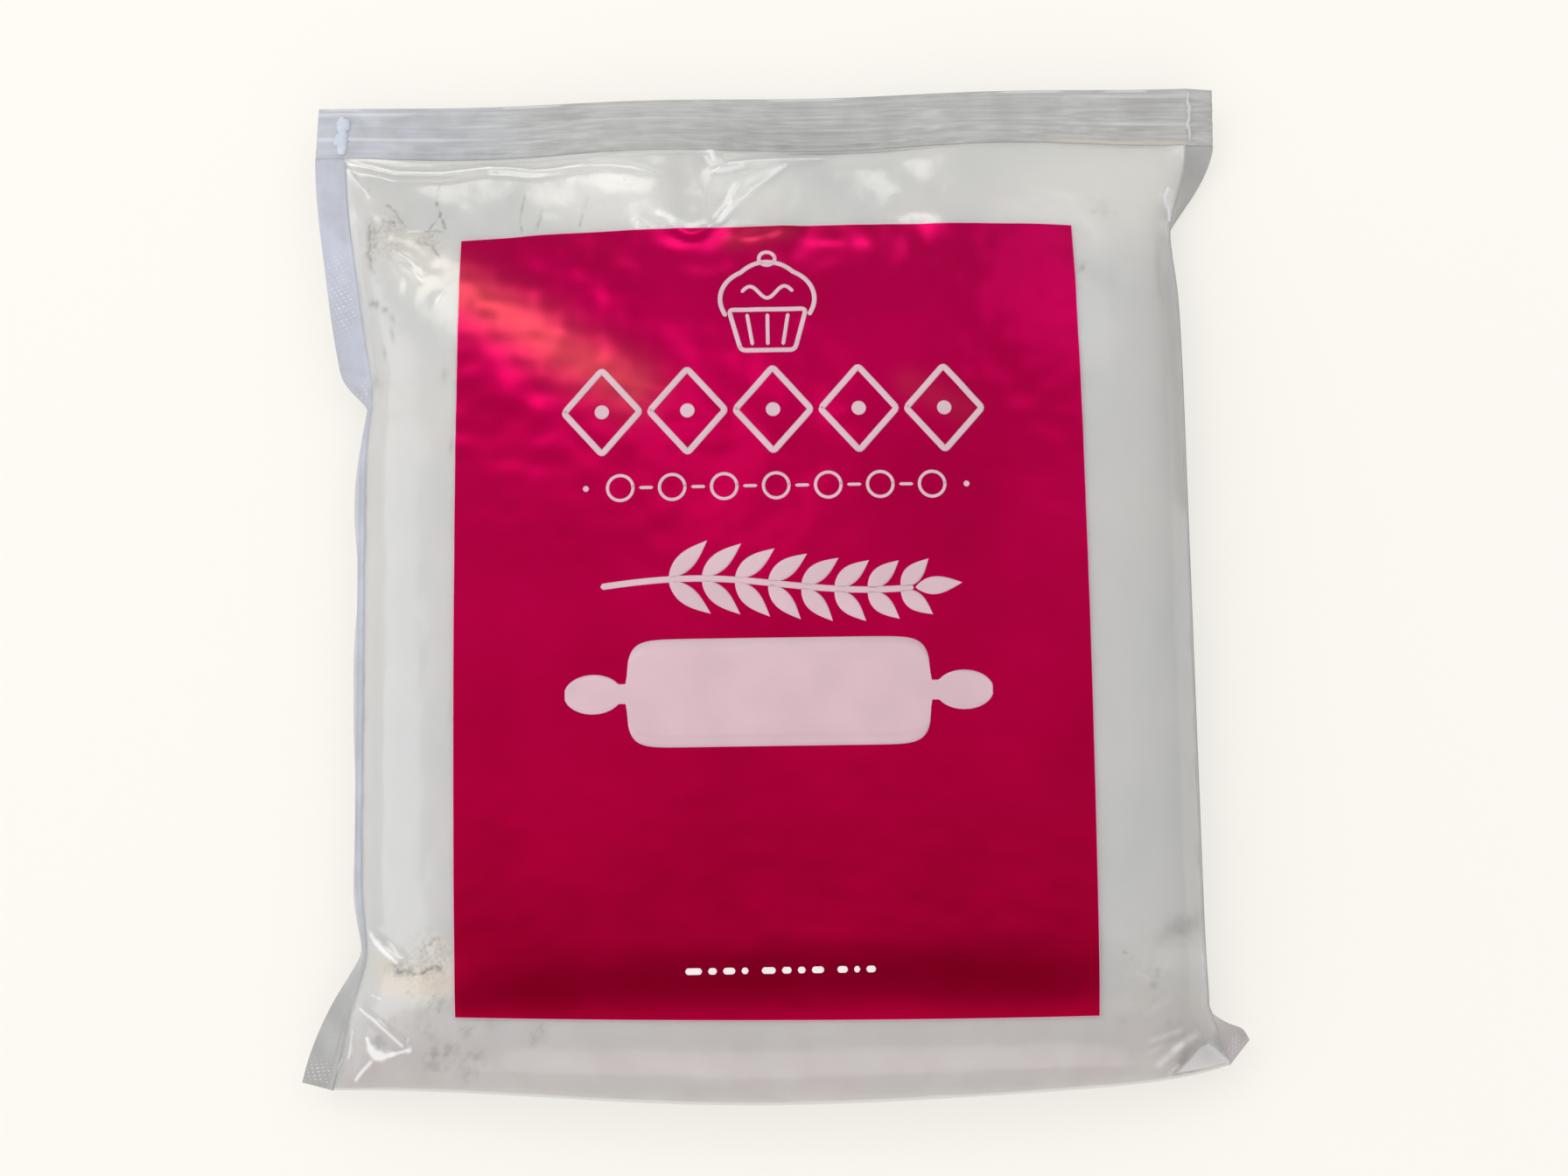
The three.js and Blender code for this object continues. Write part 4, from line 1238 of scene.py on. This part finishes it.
def emblem():
    """A line drawing of a small cake in its cup, 24 mm wide and 25 mm high."""
    cx, base, line, thin_line = -0.2, 52.9, 1.1, 0.9
    top = base + 10.2
    cup = [(cx - 6.4, base), (cx + 6.4, base), (cx + 9.2, top), (cx - 9.2, top)]
    parts = [loop(rounded_path(cup, 1.2), line)]
    for share in (-0.5, 0.0, 0.5):
        pleat = resampled([(cx + share * 7.2, base + 1.2), (cx + share * 9.8, base + 9.2)])
        parts.append(stroke(pleat, thin_line))
    angle = np.linspace(-0.12 * np.pi, 1.12 * np.pi, 260)
    bumps = 1 + 0.075 * np.abs(np.cos(2.5 * (angle - np.pi / 2)))
    icing_x = cx + 10.6 * bumps * np.cos(angle)
    icing_y = base + 12.0 + 9.6 * bumps * np.sin(angle)
    parts.append(stroke(resampled(np.stack([icing_x, icing_y], 1)), line))
    turn = np.linspace(0, 2 * np.pi, 60)
    berry = np.stack([cx + 1.9 * np.cos(turn), base + 23.2 + 1.7 * np.sin(turn)], 1)
    parts.append(loop(resampled(berry), thin_line))
    curl = np.linspace(0, 1, 60)
    swirl_y = base + 14.6 + 1.5 * np.sin(2 * np.pi * curl * 1.5)
    swirl = np.stack([cx - 6.2 + 12.4 * curl, swirl_y], 1)
    parts.append(stroke(resampled(swirl), thin_line))
    return joined(parts)


def diamonds():
    """A row of five outlined diamonds, tip to tip, with a dot in each."""
    parts = []
    cy, half_wide, half_high, apart = 38.5, 9.0, 10.2, 20.2
    for k in range(5):
        cx = 0.8 + (k - 2) * apart
        low, high = cy - half_high, cy + half_high
        tips = [(cx - half_wide, cy), (cx, low), (cx + half_wide, cy), (cx, high)]
        parts.append(loop(rounded_path(tips, 0.8), PRINT_LINE))
        parts.append(disc(cx, cy, 1.7))
    return joined(parts)


def rings():
    """A row of small rings joined by dashes, with a dot at each end."""
    cy, radius, gap, line = 20.1, 3.0, 1.4, 0.75
    parts = [disc(-43.4, cy, 0.7), disc(46.0, cy, 0.7)]
    turn = np.linspace(0, 2 * np.pi, 50)
    centres = 1.3 + (np.arange(7) - 3) * 12.2
    for cx in centres:
        ring = np.stack([cx + radius * np.cos(turn), cy + radius * np.sin(turn)], 1)
        parts.append(loop(resampled(ring, 0.3), line))
    for a, b in zip(centres[:-1], centres[1:]):
        parts.append(stroke(resampled([(a + radius + gap, cy), (b - radius - gap, cy)]), line))
    return joined(parts)


def leaf(x, y, length, width, angle):
    """A filled leaf: half width (width / 2) * sin(pi * t^0.8) along its own line, from its foot."""
    t = np.linspace(0, 1, 25)[None]
    side = np.linspace(1, -1, 7)[:, None] * width / 2 * np.maximum(np.sin(np.pi * t ** 0.8), 0.01)
    along = t * length
    turned_x = x + along * np.cos(angle) - side * np.sin(angle)
    turned_y = y + along * np.sin(angle) + side * np.cos(angle)
    return draped(turned_x[::-1], turned_y[::-1])


def sprig():
    """A sprig of grain lying level: a bent stem, pairs of leaves along it and one at its tip."""
    start, bend_length = -40.0, 84.0
    x = np.linspace(start, 33.0, 180)
    stem = np.stack([x, -3.4 + 1.6 * np.sin((x - start) / bend_length * 2 * np.pi)], 1)
    parts = [stroke(resampled(stem), PRINT_LINE)]
    for k, at in enumerate(np.linspace(-24.0, 30.0, 8)):
        y = np.interp(at, stem[:, 0], stem[:, 1])
        lean = 0.12 * np.cos((at - start) / bend_length * 2 * np.pi)
        for side in (-1, 1):
            parts.append(leaf(at, y + 0.5 * side, 12.4 - 0.45 * k, 4.2, lean + side * 0.72))
    parts.append(leaf(33.4, stem[-1, 1], 11.0, 4.2, 0.1))
    return joined(parts)


def rolling_pin():
    """The outline of a rolling pin, filled: a barrel between two turned handles."""
    x = np.linspace(-49.6, 49.6, 331)
    far = np.abs(x)
    barrel = 12.6 * np.clip(1 - (far / 35.2) ** 14, 0, 1) ** 0.25
    neck = 2.3 * (far > 34.0)
    grip = 4.6 * np.sqrt(np.clip(1 - ((far - 43.0) / 6.8) ** 2, 0, 1))
    half = np.maximum(np.maximum(barrel, neck * (far < 44)), grip * (far > 36))
    return spindle(1.2 + x, -28.6, np.maximum(half, 0.03))


def small_bars():
    """A line of short rounded bars in three groups."""
    parts = []
    x, y, between_bars, between_groups = -21.0, -92.3, 1.4, 1.6
    for group in ((5.2, 3.4, 4.2, 3.0), (4.6, 3.6, 3.2, 4.2), (3.8, 2.8, 3.6)):
        for width in group:
            bar = resampled([(x, y), (x + width - between_bars, y)], 0.2)
            parts.append(stroke(bar, PRINT_LINE))
            x += width
        x += between_groups
    return joined(parts)


# ---- every piece, what it rides on and what it stands for -----------------------------------

def make_print(name, drawn, ink):
    """One printed figure: a mesh of its ink."""
    points, faces = drawn()
    return add_mesh(name, points, faces, [ink])


for piece, solid, slot in (
    (make_powder(), "bag", "powder"),
    (make_film(), "bag", "clear_film"),
    (make_band(), "bag", "clear_film"),
    (make_beads(), "bag", "clear_film"),
    (make_fin("left_fin", LEFT), "bag", "clear_film"),
    (make_fin("right_fin", RIGHT), "bag", "clear_film"),
    (make_label(), "label", "label"),
    (make_print("print_emblem", emblem, PALE_INK), "label", "label"),
    (make_print("print_diamonds", diamonds, PALE_INK), "label", "label"),
    (make_print("print_rings", rings, PALE_INK), "label", "label"),
    (make_print("print_sprig", sprig, PALE_INK), "label", "label"),
    (make_print("print_rolling_pin", rolling_pin, PALE_INK), "label", "label"),
    (make_print("print_bars", small_bars, WHITE_INK), "label", "label"),
):
    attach(piece, "root")
    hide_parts(solid)


# ---- floor, light and camera -----------------------------------------------------------------

def make_floor():
    """A flat sheet of paper, 6 m across."""
    reach = 3000.0
    points = reach * np.array([(-1, -1, 0), (1, -1, 0), (1, 1, 0), (-1, 1, 0)])
    return add_mesh("floor", points, [[0, 1, 2, 3]], [PAPER])


def add_light(name, place, size, radiance, tint, spin=0.0, aim=None):
    """A rectangular light of the given radiance, facing down or facing aim.

    Its power is pi * radiance * area. Spin turns it about its own axis, in degrees.
    """
    lamp = bpy.data.lights.new(name, "AREA")
    lamp.shape = "RECTANGLE"
    lamp.size, lamp.size_y = size
    lamp.energy = np.pi * radiance * size[0] * size[1]
    lamp.color = tint
    lit = bpy.data.objects.new(name, lamp)
    away = Vector(place) - Vector(aim) if aim else Vector((0, 0, 1))
    facing = away.to_track_quat("Z", "Y").to_matrix().to_4x4() if aim else Matrix.Identity(4)
    spun = Matrix.Rotation(np.radians(spin), 4, "Z")
    lit.matrix_world = Matrix.Translation(place) @ facing @ spun
    bpy.context.scene.collection.objects.link(lit)


def make_room():
    """A soft bright room, a little brighter on the left and dimmer at the back and far right,
    with a dark beam across its ceiling and a black bracket under the beam.

    For a direction (x, y, z), drift is x / z and lean y / z. The beam lies at leans from 0 to
    -0.4 and drifts within 0.75, and the bracket at leans to -0.25 and drifts from 0 to 0.2.
    """
    room = bpy.data.worlds.new("soft_room")
    room.use_nodes = True
    tree = room.node_tree
    way = node(tree, "ShaderNodeTexCoord", "Generated")
    x = node(tree, "ShaderNodeSeparateXYZ", "X", Vector=way)
    y = node(tree, "ShaderNodeSeparateXYZ", "Y", Vector=way)
    z = node(tree, "ShaderNodeSeparateXYZ", "Z", Vector=way)
    height = node(tree, "ShaderNodeMath", 0, AT_LEAST, in_0=z, in_1=0.001)
    lean = node(tree, "ShaderNodeMath", 0, OVER, in_0=y, in_1=height)
    drift = node(tree, "ShaderNodeMath", 0, OVER, in_0=x, in_1=height)
    spread = node(tree, "ShaderNodeMath", 0, SIZE, in_0=drift)
    # each dark thing: its edges as (quantity, where it starts, where it is full), and its light
    dark_things = (
        (((lean, 0.02, -0.05), (lean, -0.50, -0.28), (spread, 0.95, 0.55)), 0.16),
        (
            ((drift, -0.01, 0.03), (drift, 0.23, 0.19), (lean, 0.0, -0.03), (lean, -0.27, -0.22)),
            0.0,
        ),
    )
    strength = node(tree, "ShaderNodeMapRange", 0, Value=x, in_1=-1, in_2=1, in_3=1.10, in_4=1.05)
    for value, start, end, light in ((y, 0.45, 0.90, 0.55), (x, 0.55, 0.95, 0.5)):
        wall = node(
            tree, "ShaderNodeMapRange", 0, Value=value, in_1=start, in_2=end, in_3=1.0, in_4=light
        )
        strength = node(tree, "ShaderNodeMath", 0, TIMES, in_0=strength, in_1=wall)
    for edges, light in dark_things:
        cover = 1.0
        for value, start, end in edges:
            edge = node(tree, "ShaderNodeMapRange", 0, Value=value, in_1=start, in_2=end)
            cover = node(tree, "ShaderNodeMath", 0, TIMES, in_0=edge, in_1=cover)
        shade = node(
            tree, "ShaderNodeMapRange", 0, Value=cover, in_1=0, in_2=1, in_3=1.0, in_4=light
        )
        strength = node(tree, "ShaderNodeMath", 0, TIMES, in_0=strength, in_1=shade)
    front = node(tree, "ShaderNodeMapRange", 0, Value=y, in_1=0.1, in_2=-0.9)
    tint = node(
        tree, "ShaderNodeMix", 2, COLOURS,
        in_0=front, in_6=(0.98, 0.99, 1.0, 1), in_7=(1.0, 0.93, 0.92, 1),
    )
    tree.links.new(strength, tree.nodes["Background"].inputs["Strength"])
    tree.links.new(tint, tree.nodes["Background"].inputs["Color"])
    return room


make_floor()
bpy.context.scene.world = make_room()

DAYLIGHT = (1.0, 0.95, 0.86)
add_light("window_wide", (-0.73, 0.72, 1.0), (0.22, 0.40), 3.6, DAYLIGHT)
add_light("window_middle", (-0.47, 0.575, 1.0), (0.38, 0.19), 4.2, DAYLIGHT, spin=-45)
add_light("window_end", (-0.15, 0.345, 1.0), (0.34, 0.08), 2.1, DAYLIGHT, spin=-30)
add_light("skylight", (-0.03, 1.22, 1.0), (0.22, 0.28), 6.0, DAYLIGHT)
add_light("back_card", (0.58, 0.85, 1.0), (0.50, 0.90), 0.75, (1.0, 0.98, 1.0))
add_light(
    "window_low", (-0.21, 1.3, 0.38), (0.36, 0.52), 2.7, (1.0, 0.96, 0.88), aim=(-0.04, 0.1, 0.02)
)
add_light("front_card", (0.1, -1.5, 0.8), (1.5, 0.8), 1.0, (1.0, 0.90, 0.88), aim=(0, 0, 0))
add_light("side_card", (-1.6, 0.1, 0.9), (1.0, 1.0), 1.1, (0.97, 0.98, 1.0), aim=(0, 0, 0))

# The camera was fitted to the photograph: its place in mm, its three axes and its focal length.
PHOTO_WIDTH = 1792.0            # in the photograph's pixels, as the focal length is
FOCAL_LENGTH = 2859.0
SENSOR_WIDTH = 36.0
CAMERA_PLACE = Vector((1.48, -90.43, 608.4))
camera_data = bpy.data.cameras.new("camera")
camera_data.sensor_width = SENSOR_WIDTH
camera_data.lens = FOCAL_LENGTH / PHOTO_WIDTH * SENSOR_WIDTH
camera = bpy.data.objects.new("camera", camera_data)
right = Vector((0.99989, -0.01483, 0.0))
up = Vector((0.01467, 0.98891, 0.14781))
back = Vector((-0.00219, -0.14779, 0.98902))
turned = Matrix((right, up, back)).transposed().to_4x4()
camera.matrix_world = Matrix.Translation(CAMERA_PLACE * MM) @ turned
bpy.context.scene.collection.objects.link(camera)
bpy.context.scene.camera = camera
bpy.context.scene.view_settings.view_transform = "Standard"
